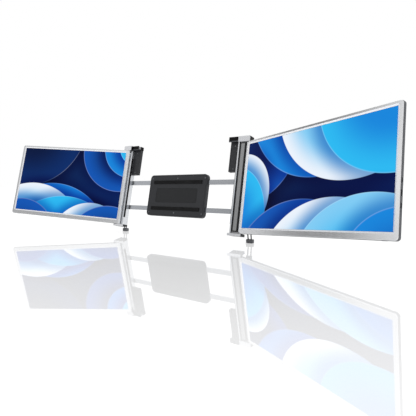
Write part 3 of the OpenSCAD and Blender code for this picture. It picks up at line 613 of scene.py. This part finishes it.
# Each disc: its middle, its radius, the colours of its rim and core, and how far its shading reaches in
LEFT_DISCS = [
    ((0.12, 1.34), 0.94, DEEP, NAVY, 0.6), ((1.70, 1.04), 0.64, BLUE, DEEP, 0.4),
    ((1.88, 1.08), 0.46, AZURE, BLUE, 0.3), ((1.98, 1.12), 0.32, CYAN, AZURE, 0.25),
    ((0.66, -0.66), 1.12, AZURE, BLUE, 0.5), ((0.30, -0.58), 1.02, PALE, SKY, 0.3),
    ((0.88, -0.86), 1.13, CYAN, AZURE, 0.4), ((0.12, -0.52), 0.70, BLUE, DEEP, 0.5),
    ((1.34, -0.46), 0.66, PALE, SKY, 0.3), ((1.64, -0.50), 0.68, BLUE, DEEP, 0.4),
]
RIGHT_DISCS = [
    ((0.10, 1.00), 0.70, BLUE, DEEP, 0.45), ((1.02, 1.52), 1.02, AZURE, BLUE, 0.5),
    ((1.36, 1.34), 0.90, PALE, SKY, 0.3), ((1.76, 1.22), 0.76, CYAN, AZURE, 0.45),
    ((-0.08, 0.40), 0.48, PALE, SKY, 0.25), ((-0.24, 0.14), 0.60, CYAN, AZURE, 0.4),
    ((0.84, -0.72), 1.02, BLUE, DEEP, 0.5), ((1.20, -0.62), 0.92, PALE, SKY, 0.35),
    ((1.58, -0.52), 0.84, SKY, CYAN, 0.4), ((1.86, -0.34), 0.54, AZURE, BLUE, 0.4),
]


# ---- Screens ----

def socket_outline(picture_socket):
    """A data socket's mouth is a stadium; the picture socket's has two corners cut off."""
    half, t = (PICTURE_W if picture_socket else DATA_W) / 2, SOCKET_T / 2
    if picture_socket:
        cut = half - t * 0.8
        corners = [(-t, -half), (t * 0.2, -half), (t, -cut), (t, cut), (t * 0.2, half), (-t, half)]
        return outline(corners, 0.25, 3)
    return rectangle((-t, -half), (t, half), t * 0.98, 6)


def lifted(shape, height):
    """An outline moved up by a height in its second coordinate."""
    return lambda inset: shape(inset) + [0, height]


def screw(place, head, depth, axis="y", radius=SCREW_R):
    """A screw's head with a six-sided hole: out over the rim, down the hexagon, to its floor."""
    up = -1 if head > depth else 1
    profile = [(0.5, depth), (1, depth), (1, head + up * 0.16), (0.9, head + up * 0.03), (0.78, head),
               (0.5, head), (0.46, head + up * 0.5), (0.1, head + up * 0.55)]
    return turned([(radius * share, at) for share, at in profile], place, axis, 24, (5, 6))


def repaint(node, finish):
    """A CAD node that keeps its shape gets its finish."""
    for slot in frame["nodes"][node].material_slots:
        slot.material = finish


def screen(side, picture):
    place, body, name = on_screen(side), side.name + "_screen", side.name + "_"
    outer = rectangle((0, 0), (SCREEN_W, SCREEN_H), (0.4, CORNER_R, CORNER_R, 0.4), 8)
    window = rectangle((RIM_HINGE, RIM_FOOT), (RIM_HINGE + VIEW_W, RIM_FOOT + VIEW_H), 0.3, 8)
    notches = []
    if side is RIGHT:
        notches = [block((-6, -6, low), (NOTCH_U, 6, high), 0.05, 0.05)
                   for low, high in ((-1, LOW_NOTCH), (SCREEN_H - TOP_NOTCH, SCREEN_H + 1))]
    rings = [(outer, 0, RIM_V)] + [(outer, inset, at) for inset, at in (quarter(0.45) + [0, -HALF_T])[::-1]]
    rings += [(window, -BEVEL - 0.15, -HALF_T), (window, -BEVEL - 0.12, -HALF_T + 0.4), (window, -0.6, RIM_V)]
    ring = skin(np.stack([on_axis(shape(inset), at, "y") for shape, inset, at in rings]), closed=True)
    make(name + "frame_ring", [ring], place, SILVER, body, [name + "front_frame"], cuts=notches)
    bevel = [(-0.5, RIM_V - 0.01), (-BEVEL - 0.1, -HALF_T + 0.36), (-BEVEL - 0.1, -HALF_T + 0.04),
             (-BEVEL + 0.02, -HALF_T + 0.02), (-0.08, RIM_V - 0.16), (0, RIM_V - 0.08), (0, RIM_V - 0.01)]
    # The bevel takes the whiter finish, a painted highlight along the chamfer round the picture.
    make(name + "cut_bevel", [carried(window, bevel, "y", closed=True)], place, PAINTED_BEVEL_HIGHLIGHT, body,
         slot=SLOT_OF[name + "front_frame"])

    corners = [(0.05, RIM_V), (BARREL_U, RIM_V), (BARREL_U, HALF_T), (-HALF_T, HALF_T), (-HALF_T, -HALF_T),
               (0.05, -HALF_T)]
    barrel = outline(corners, (0.1, 0.1, 0.1, ROUND, ROUND, 0.15), 8)
    ends = (0, SCREEN_H) if side is LEFT else (LOW_NOTCH, SCREEN_H - TOP_NOTCH)
    make(name + "round_edge", [carried(barrel, eased(*ends, 0.35), "z")], place, SILVER, body,
         [name + "hinge_barrel"])

    high, radius = (SCREEN_W + REAR_PROUD, SCREEN_H + REAR_PROUD), CORNER_R + REAR_PROUD
    shell = rectangle((BARREL_U, -REAR_PROUD), high, (0.3, radius, radius, 0.3), 8)
    inner = rectangle((BARREL_U + 0.3, SIDE_WALL), (SCREEN_W - SIDE_WALL, SCREEN_H - SIDE_WALL),
                      (0.2, 3.4, 3.4, 0.2), 8)
    openings = [lifted(socket_outline(i == 1), w) for i, w in enumerate(SOCKET_WS)]
    spots = [(u, w) for u in SCREW_US for w in SCREW_WS]
    left, right, half = BUTTON_U - BUTTON_L / 2, BUTTON_U + BUTTON_L / 2, BUTTON_W / 2
    cuts = [carried(opening, [(0, SCREEN_W - SIDE_WALL - 1), (0, SCREEN_W + 1)], "x") for opening in openings]
    cuts += [bore(SCREW_R + 0.12, HALF_T - 0.75, HALF_T + 1, spot) for spot in spots]
    cuts.append(prism((left - 0.2, -half - 0.2), (right + 0.2, half + 0.2), 1.3, -1, SIDE_WALL + 0.5, "z"))
    cuts.append(moat(shell, COVER_GROOVE, COVER_GROOVE + 0.7, HALF_T - 0.35, HALF_T + 1))
    vents = [middle + k * VENT_PITCH for middle in (VENT_U, SCREEN_W - VENT_U) for k in range(-6, 7)]
    cuts += [prism((u - VENT_W / 2, VENT_WS[0]), (u + VENT_W / 2, VENT_WS[1]), 0.78, HALF_T - 0.7, HALF_T + 1,
                   steps=4) for u in vents]
    make(name + "rear_shell", [tray(shell, inner, RIM_V + 0.12, HALF_T, REAR_WALL, 1.1)], place, REAR, body,
         [name + "rear_cover"], cuts=cuts)

    mouth = SCREEN_W + REAR_PROUD - 0.1
    floor, reach = mouth - SOCKET_D, DATA_W / 2 - 1.4
    lip = [(0.03, floor), (0.03, mouth - 0.08), (0.1, mouth), (0.26, mouth), (0.34, mouth - 0.1),
           (0.34, floor + 0.8)]
    make(name + "socket_shells", [carried(opening, lip, "x") for opening in openings], place, PLATED, body,
         [name + "sockets"])
    tongues = []
    for opening, w in zip(openings, SOCKET_WS):
        tongues += [block((floor + 0.3, -0.36, w - reach), (mouth - 1.3, 0.36, w + reach), 0.2, 0.15, "x"),
                    carried(opening, [(0.36, floor + 0.75), (0.36, floor + 1.0)], "x")]
    make(name + "socket_tongues", tongues, place, TONGUE, body, slot="black_plastic")
    make(name + "rear_screws", [screw(spot, HALF_T - 0.1, HALF_T - 0.72) for spot in spots], place, SCREW,
         body, [name + "cover_screws"])

    key = [block((left, -half, -BUTTON_OUT), (right, half, SIDE_WALL + 1), 1.2, 0.4),
           block((left - 1, -half - 0.6, SIDE_WALL + 0.06), (right + 1, half + 0.6, SIDE_WALL + 1), 0.5, 0.2)]
    make(name + "power_key", key, place, BUTTON, name + "button", [name + "power_button"])
    for node, finish in (("display", picture), ("control_board", BOARD), ("hinge_pins", PIN_STEEL)):
        repaint(name + node, finish)


# ---- Columns ----

def column(side):
    place, body, name = on_side(side), side.name + "_column", side.name + "_"
    right, lip = COLUMN_X + COLUMN_W, COLUMN_X + side.lip
    corners = grooved((COLUMN_X, 0.1), (right, COLUMN_BACK), (COLUMN_X + 5.5, right - 5.5), 1.4, 0.7)
    corners[1:2] = [(lip, 0.1), (lip, COLUMN_Y), (right, COLUMN_Y)]
    radii = [0.8, 0.8, 0.4, 1.5, 1.5] + [0.12] * (len(corners) - 6) + [1.2]
    tube = carried(outline(corners, radii), [(0, LOW_CAP_Z + 0.02), (0, CAP_Z - 0.02)], "z")
    make(name + "column_extrusion", [tube], place, COLUMN, body, [name + "column_tube"])

    front, cap, low, top = side.cap_front, COLUMN_X + side.cap_w, LOW_CAP_Z - LOW_CAP_H, CAP_Z + TOP_CAP_H
    back = front + CAP_PLATE
    shape = rectangle((COLUMN_X, back - 0.1), (cap, COLUMN_BACK), (0.3, 0.8, 2.4, 1.2), 6)
    make(name + "top_cap_body", [carried(shape, eased(CAP_Z, top, 0.7), "z"),
                                 block((COLUMN_X + 3, COLUMN_BACK - 1, CAP_Z + 3.2),
                                       (cap - 4, COLUMN_BACK + 0.35, CAP_Z + 9.6), 1, 0.3, "y")],
         place, BLACK, body, [name + "top_cap"])
    make(name + "bottom_cap_body", [carried(shape, eased(low, LOW_CAP_Z, 0.35, 0.7), "z")], place, DARK, body,
         [name + "bottom_cap"])
    make(name + "top_face", [block((COLUMN_X, front, CAP_Z), (cap, back, top), 1.2, 0.4, "y", 0.1)],
         place, TRIM, body, [name + "top_plate"])
    tip = LID_W / 2 - 3.1
    hook = [block((tip, front, low), (cap, back, LOW_CAP_Z), 1.4, 0.45, "y", 0.1),
            block((tip + 0.5, front + 0.4, low + 0.5), (LID_W / 2 - 0.2, -0.3, LOW_CAP_Z - 0.5), 0.8, 0.3, "y")]
    make(name + "hook_face", hook, place, TRIM, body, [name + "bottom_plate"])
    strip = rectangle((COLUMN_X - 1, 0.6), (COLUMN_X + 0.05, LID_T + 2), 0.45, 4)
    make(name + "edge_strip", [ribbed(strip, *STRIP_ZS, 5, 0.22, "z")], place, RUBBER, body,
         [name + "edge_pad"])

    bars = []
    for z in RAIL_ZS:
        under, over = z - RAIL_H / 2, z + RAIL_H / 2
        bars += [block((RAIL_END, RAIL_Y, under), (COLUMN_X + 10, RAIL_Y + RAIL_T, over), 0.5, 0.2, "x"),
                 block((RAIL_END, RAIL_Y - 1, under - 1.5),
                       (RAIL_END + STOP_L, RAIL_Y + RAIL_T + 1, over + 1.5), 0.6, 0.4, "x")]
    make(name + "slide_rails", bars, place, STEEL, body, [name + "rails"])


def spring_box(side):
    """The housing of the clamp's rods and its two springs."""
    place, body, name = on_side(side), side.name + "_column", side.name + "_"
    front, back, middle = CLAMP_Y - CLAMP_D / 2, CLAMP_Y + CLAMP_D / 2, (ARM_X + COLUMN_X) / 2
    ribs = [ARM_X + 6 + 2.6 * k for k in range(6)]
    corners = grooved((ARM_X, front), (COLUMN_X + 0.05, back), ribs, 1.0, 0.5)
    shape = outline(corners, [1.2, 0.2, 0.2] + [0.12] * (len(corners) - 4) + [1.8], 4)
    spots = [(middle, CLAMP_LOW + 7), (middle, CLAMP_TOP - 9)]
    cuts = [bore(radius, CLAMP_LOW - 1, end, (x, CLAMP_Y), "z") for x in ROD_XS
            for radius, end in ((CLAMP_ROD_R + 0.15, CLAMP_TOP + 1), (CLAMP_ROD_R + 2.0, CLAMP_TOP - 3.4))]
    cuts.append(prism((ARM_X + 3, CLAMP_LOW + 13), (COLUMN_X - 3, CLAMP_TOP - 15), 2.5, front - 1, front + 0.4))
    cuts += [bore(1.85, front - 1, front + 0.9, spot) for spot in spots]
    make(name + "spring_box", [carried(shape, eased(CLAMP_LOW, CLAMP_TOP, 0.6), "z")], place, HUB, body,
         [name + "clamp_housing"], cuts=cuts)
    make(name + "box_screws", [screw(spot, front + 0.15, front + 0.85) for spot in spots], place, SCREW, body,
         slot="screw_steel")
    low, high = CLAMP_LOW + 5.1, CLAMP_TOP - 3.5
    radius = CLAMP_ROD_R + SPRING_WIRE + 0.25
    coils = [coil((x, CLAMP_Y), radius, SPRING_WIRE, low, high, SPRING_TURNS) for x in ROD_XS]
    wound = make(name + "spring_coils", coils, place, SPRING, body, [name + "clamp_springs"])
    name + "clamp_slide"
    tuple(LEAN @ [0, 0, 1])
    tuple(LEAN @ [0, 0, high] * MM)
    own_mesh(wound)


def clamp(side):
    """The arm of the upper clamp: front lip, bridge, rear block, rubber and the two rods."""
    place, body, name = on_side(side), side.name + "_arm", side.name + "_"
    far, top, lip_back = ARM_X + ARM_W, ARM_Z + 0.2 + ARM_H, ARM_LIP_Y + ARM_LIP
    ribs = [ARM_BLOCK_Y + 3.4 + 2.1 * k for k in range(3)]
    corners = grooved((ARM_BLOCK_Y, ARM_Z), (ARM_BLOCK_Y + ARM_BLOCK, top), ribs, 0.9, 0.4)
    rear = outline(corners, [0.8, 0.8, 1.6] + [0.1] * (len(corners) - 4) + [1.0], 4)
    make(name + "arm_body", [block((ARM_X, ARM_LIP_Y, ARM_Z + 0.2), (far, lip_back, top), 0.7, 0.5, "x"),
                             carried(rear, eased(ARM_X, far, 0.8), "x")],
         place, BLACK, body, [name + "clamp_arm"])
    disc, r = CLAMP_LOW + 2, CLAMP_ROD_R
    profile = [(1.2, disc), (r + 1.4, disc + 0.05), (r + 1.5, disc + 0.2), (r + 1.5, disc + 2.8),
               (r + 1.4, disc + 3), (r, disc + 3), (r, ARM_Z + 1)]
    make(name + "clamp_rods", [turned(profile, (x, CLAMP_Y), "z") for x in ROD_XS], place, PIN_STEEL, body,
         slot="steel")
    bridge = block((ARM_X + 1, lip_back - 0.05, ARM_Z + ARM_PAD_T),
                   (far - 1, ARM_BLOCK_Y + 0.05, ARM_Z + ARM_H - 1), 0.1, 0.6, "x")
    make(name + "bridge", [bridge], place, GREY_METAL, body, [name + "arm_bracket"])
    front, back, low = ARM_LIP_Y + 0.2, ARM_BLOCK_Y - 0.2, ARM_Z - ARM_BITE
    pad = [(front, low), (-0.2, low), (-0.2, ARM_Z), (back, ARM_Z), (back, ARM_Z + ARM_PAD_T),
           (lip_back, ARM_Z + ARM_PAD_T), (lip_back, ARM_Z + 0.2), (front, ARM_Z + 0.2)]
    rubber = outline(pad, [0.6, 0.5] + [0.1] * 6, 4)
    make(name + "rubber_lip", [carried(rubber, eased(ARM_X, far, 0.35), "x")], place, GREY_RUBBER, body,
         [name + "arm_pad"])


def leg(side):
    upright, leaning, name = on_leg(side, False), on_leg(side), side.name + "_"
    base, ear_in = COLUMN_BACK - LEG_Y, SLEEVE_W / 2 + 0.15
    reach = ear_in + EAR_T
    shells = [block((COLUMN_X + 9 - LEG_X, base, -9.5), (reach, base + 2.5, 10.5), 1.6, 0.5, "y")]
    ear = rectangle((base + 1.5, -EAR_R), (EAR_R, EAR_R), (0.3, EAR_R - 0.02, EAR_R - 0.02, 0.3), 8)
    shells += [carried(ear, eased(x, x + EAR_T, 0.4), "x") for x in (-reach, ear_in)]
    shells += [screw((x, z), base + 3.1, base + 2.4, "y", 1.7) for x in (-18.5, -12.5) for z in (-5.5, 6.5)]
    make(name + "leg_mount", shells, upright, DARK, name + "column", [name + "leg_bracket"])
    r = LEG_PIN_R
    dome = [(0.4, reach + 1.0), (1.4, reach + 0.92), (2.1, reach + 0.62), (r + 1, reach + 0.2),
            (r + 1, reach), (r, reach)]
    rivet = dome + [(radius, -x) for radius, x in dome[::-1]]
    make(name + "leg_rivet", [turned(rivet, (0, 0), "x", 20)], upright, STEEL, name + "column",
         [name + "leg_pin"])

    half, rod_xs = SLEEVE_T / 2, (-ROD_GAP / 2, ROD_GAP / 2)
    shape = rectangle((-half, -SLEEVE_L), (half, half), (0.8, 0.8, half - 0.02, half - 0.02), 8)
    cuts = [bore(ROD_R + 0.08, -SLEEVE_L - 1, -SLEEVE_L + 3, (x, 0), "z") for x in rod_xs]
    cuts += [block((-2, low, -15), (2, high, -5), 1.9, 0.1, "y")
             for low, high in ((-half - 1, -half + 0.5), (half - 0.5, half + 1))]
    make(name + "leg_case", [carried(shape, eased(-SLEEVE_W / 2, SLEEVE_W / 2, 0.7), "x")], leaning, DARK,
         name + "leg", [name + "leg_sleeve"], cuts=cuts)
    profile = [(ROD_R - 0.2, -LEG_L + 4.8), (ROD_R, -LEG_L + 5), (ROD_R, -12.2), (ROD_R - 0.2, -12)]
    make(name + "leg_tubes", [turned(profile, (x, 0), "z") for x in rod_xs], leaning, CHROME, name + "foot",
         [name + "leg_rods"])

    sole = leaning[1] + leaning[0] @ [0, 0, -LEG_L]
    shape = rectangle((-FOOT_W / 2, -FOOT_D / 2), (FOOT_W / 2, FOOT_D / 2), 2.2, 6)
    stations = [(0.9, 0), (0.35, 0.25), (0.15, 0.8), (0.15, 1.6), (0.45, 1.75), (0.45, 2.05), (0.0, 2.2),
                (0.0, 7.4), (0.12, 7.9), (0.45, 8.35), (0.95, FOOT_H)]
    make(name + "foot_block", [carried(shape, stations, "z")], (np.eye(3), sole), FOOT_RUBBER, name + "foot",
         [name + "foot"])


# ---- Rear frame and spine ----

def rear_frame():
    low, high = (-HUB_W / 2, HUB_RISE - HUB_H / 2), (HUB_W / 2, HUB_RISE + HUB_H / 2)
    shape = rectangle(low, high, HUB_R, 10)
    inner = rectangle((low[0] + HUB_WALL, low[1] + HUB_WALL), (high[0] - HUB_WALL, high[1] - HUB_WALL),
                      HUB_R - HUB_WALL, 10)
    front, back = HUB_Y - HUB_COVER, HUB_Y + HUB_D
    spots = [(x, z) for x in (low[0] + 11, high[0] - 11) for z in (low[1] + 11, high[1] - 11)]
    cuts = [block((low[0] - 1, RAIL_Y - 0.2, z - RAIL_H / 2 - 0.2),
                  (high[0] + 1, RAIL_Y + RAIL_T + 0.2, z + RAIL_H / 2 + 0.2), 0.2, 0.05, "x") for z in RAIL_ZS]
    cuts += [bore(3.2, back - 1.2, back + 1, spot) for spot in spots]
    cuts += [prism((-HUB_SLOT_L / 2, z - HUB_SLOT_T / 2), (HUB_SLOT_L / 2, z + HUB_SLOT_T / 2), 0.88,
                   back - 0.8, back + 1) for z in np.arange(HUB_RISE - 15, HUB_RISE + 16, 6)]
    cuts.append(moat(shape, 5.0, 5.7, back - 0.4, back + 1))
    make("hub_shell", [tray(shape, inner, HUB_Y + 0.15, back, HUB_WALL, 1.8)], LID, HUB, "rear_frame",
         ["centre_housing"], cuts=cuts)

    front_spots = [(x, z) for x in (low[0] + 7.5, 0, high[0] - 7.5) for z in (low[1] + 9.5, high[1] - 9.5)]
    half, rise = RECESS_W / 2, RECESS_H / 2
    cuts = [bore(2.1, front - 1, front + 0.9, spot) for spot in front_spots]
    cuts += [moat(shape, 3.0, 3.7, front - 1, front + 0.4),
             prism((-half, HUB_RISE - rise), (half, HUB_RISE + rise), 4, front - 1, front + 0.8, steps=6)]
    make("hub_cover", [carried(shape, eased(front, HUB_Y, 0.4, 0.15), "y")], LID, HUB, "rear_frame",
         ["centre_cover"], cuts=cuts)
    ribs = rectangle((front + 0.1, HUB_RISE - rise + 0.6), (front + 0.85, HUB_RISE + rise - 0.6), 0.3, 3)
    make("hub_ribs", [ribbed(ribs, -half + 0.6, half - 0.6, 2.6, 0.3, "x")], LID, DARK, "rear_frame",
         slot="black_plastic")
    heads = [screw(spot, back - 0.35, back - 1.2, "y", 2.6) for spot in spots]
    heads += [screw(spot, front + 0.15, front + 0.85, "y", 1.9) for spot in front_spots]
    make("hub_screws", heads, LID, SCREW, "rear_frame", slot="screw_steel")
    strips = [ribbed(rectangle((PAD_Y, z - PAD_H / 2), (PAD_Y + PAD_T + 0.05, z + PAD_H / 2), 0.7, 4),
                     -PAD_W / 2, PAD_W / 2, 4, 0.3, "x") for z in RAIL_ZS]
    make("lid_strips", strips, LID, RUBBER, "rear_frame", ["lid_pads"])
    repaint("rail_guides", GUIDE)


def spine():
    post = outline([(SPINE_END, -HALF_T), (SPINE_END, HALF_T), (-HALF_T, HALF_T), (-HALF_T, -HALF_T)],
                   (0.3, 0.3, ROUND, ROUND), 10)
    left, right, low, high = INLAY_U, INLAY_U + INLAY_W, SPINE_LOW + INLAY_END, SPINE_HIGH - INLAY_END
    bottom, play = -HALF_T + INLAY_T, 0.06
    make("spine_post", [carried(post, eased(SPINE_LOW, SPINE_HIGH, 0.3), "z")], ON_SPINE, SPINE, "spine",
         ["spine_body"], cuts=[block((left, -HALF_T - 1, low), (right, bottom, high), 0.3, 0.05, "y")])
    make("spine_strip", [block((left + play, -HALF_T + INLAY_SINK, low + play),
                               (right - play, bottom, high - play), 0.3, 0.18, "y", 0.05)],
         ON_SPINE, INLAY, "spine", ["spine_inlay"])
    link = rectangle((-HALF_T, -HALF_T), (SPINE_REACH + HALF_T, HALF_T), ROUND, 10)
    make("spine_end_links", [carried(link, eased(SCREEN_RISE, SCREEN_RISE + 3.0, 0.3), "z"),
                             carried(link, eased(SCREEN_TOP - 1.2, SCREEN_TOP, 0.25), "z")],
         ON_SPINE, GREY_METAL, "spine", ["spine_links"])
    repaint("spine_pins", PIN_STEEL)


rear_frame()
spine()
for each, discs in ((LEFT, LEFT_DISCS), (RIGHT, RIGHT_DISCS)):
    column(each)
    spring_box(each)
    clamp(each)
    leg(each)
    screen(each, lit_picture(each.name + "_picture", each, discs))


# ---- Studio ----

FLOOR_GLOW, MIRROR_NEAR, MIRROR_FAR = 0.8, 0.38, 0.03
# Each panel: azimuth and elevation of its middle, inner and outer angle, strength
PANELS = [
    (-12, 48, 8, 28, 0.35), (70, 35, 10, 34, 0.3), (165, 58, 12, 40, 0.8), (-53, 62, 6, 26, 0.4),
    (-62.6, 9.5, 1, 10, -0.85), (-67, 25, 3, 12.5, -0.9), (-55, 24, 3, 14, 0.25), (-79, 17, 2, 9, 0.25),
    (-9.5, 25, 1, 10, 0.06), (-18, 10, 3, 22, -0.45),
]


def aim(thing, at, target):
    """Puts a camera or light at a place with its view axis towards a target."""
    thing.location = at
    thing.rotation_euler = (Vector(target) - Vector(at)).to_track_quat("-Z", "Y").to_euler()


def softbox(name, at, target, size, power):
    data = bpy.data.lights.new(name, "AREA")
    data.shape, data.size, data.size_y, data.energy = "RECTANGLE", size[0], size[1], power
    light = bpy.data.objects.new(name, data)
    light.visible_glossy = False
    bpy.context.collection.objects.link(light)
    aim(light, at, target)


def studio_floor():
    """A white floor with a faint clear reflection that fades with the distance from the object."""
    angle = np.linspace(0, 2 * math.pi, 64, endpoint=False)
    points = np.stack([30 * np.cos(angle), 30 * np.sin(angle), np.full(64, -LID_RISE * MM)], -1)
    mesh = bpy.data.meshes.new("floor")
    mesh.from_pydata(points.tolist(), [], [list(range(64))])
    floor = bpy.data.objects.new("floor", mesh)
    bpy.context.collection.objects.link(floor)
    finish = Finish("floor_finish", Base_Color=(0.35, 0.35, 0.35, 1), Roughness=0.9, Specular_IOR_Level=0.0,
                    Emission_Color=(1, 1, 1, 1), Emission_Strength=FLOOR_GLOW)
    mirror = finish.node("BsdfGlossy", {}, {"Color": (1, 1, 1, 1), "Roughness": 0.0})
    flat = finish.node("VectorMath", {"operation": "MULTIPLY"}, {0: finish.place, 1: (0.75, 1.0, 0.0)})
    away = finish.node("VectorMath", {"operation": "LENGTH"}, {0: flat.outputs[0]})
    share = Field(finish, away.outputs["Value"]).smooth(0.25, 1.1, MIRROR_NEAR, MIRROR_FAR)
    both = finish.node("MixShader", {}, {0: share, 1: finish.shader.outputs[0], 2: mirror.outputs[0]})
    finish.tree.links.new(both.outputs[0], finish.out.inputs["Surface"])
    mesh.materials.append(finish.material)


def studio_world():
    """White to the camera and in the floor's clear mirror. Else a grey dome, pale round the horizon and darker
    overhead, with seven pale panels and three dark ones, each a smooth step of the angle from its middle.
    Azimuths go from the front towards the right."""
    world = bpy.data.worlds.new("studio")
    bpy.context.scene.world = world
    studio = Nodes(world, "Generated")
    light = studio.dot((0, 0, 1)).smooth(0.35, 0.9, 0.86, 0.45) + studio.dot((-0.08, 0.05, 0))
    for *angles, strength in PANELS:
        azimuth, elevation, inner, outer = map(math.radians, angles)
        level = math.cos(elevation)
        middle = math.sin(azimuth) * level, -math.cos(azimuth) * level, math.sin(elevation)
        light = light + studio.dot(middle).smooth(math.cos(outer), math.cos(inner)) * strength
    path = studio.node("LightPath")
    seen = light.maths("MAXIMUM", 0.04)
    for ray in ("Is Camera Ray", "Is Singular Ray"):
        seen = seen.maths("MAXIMUM", path.outputs[ray])
    sky = studio.node("Background", {}, {"Color": (1, 1, 1, 1), "Strength": seen})
    studio.node("OutputWorld", {}, {"Surface": sky.outputs[0]})


studio_floor()
studio_world()
softbox("key", (-1.1, -1.6, 1.5), (0, 0, 0.1), (1.6, 1.2), 2)
softbox("fill", (1.8, -0.9, 1.1), (0.1, 0, 0.1), (1.2, 1.2), 2)
softbox("back", (0.3, 1.9, 1.3), (0, 0, 0.12), (2.0, 0.9), 4)

# The camera: its azimuth, elevation and roll, and its focal length, picture centre and frame in pixels
AZ, EL, ROLL = (math.radians(a) for a in (36.45, 1.65, -0.41))
FOCAL, CENTRE, FRAME_PX = 375.38, (196.49, 195.71), 416
camera = bpy.data.objects.new("camera", bpy.data.cameras.new("camera"))
bpy.context.collection.objects.link(camera)
bpy.context.scene.camera = camera
forward = np.array([-math.sin(AZ) * math.cos(EL), math.cos(AZ) * math.cos(EL), -math.sin(EL)])
level = np.array([math.cos(AZ), math.sin(AZ), 0])
upward = np.cross(level, forward)
across = level * math.cos(ROLL) + upward * math.sin(ROLL)
upward = upward * math.cos(ROLL) - level * math.sin(ROLL)
pose = Matrix(np.stack([across, upward, -forward], -1).tolist()).to_4x4()
pose.translation = (0.62116, -0.72229, 0.1232)
camera.matrix_world = pose
camera.data.sensor_width = 36
camera.data.lens = FOCAL / FRAME_PX * 36
camera.data.shift_x = (FRAME_PX / 2 - CENTRE[0]) / FRAME_PX
camera.data.shift_y = (CENTRE[1] - FRAME_PX / 2) / FRAME_PX
camera.data.clip_start, camera.data.clip_end = 0.01, 100
bpy.context.scene.view_settings.view_transform = "Standard"
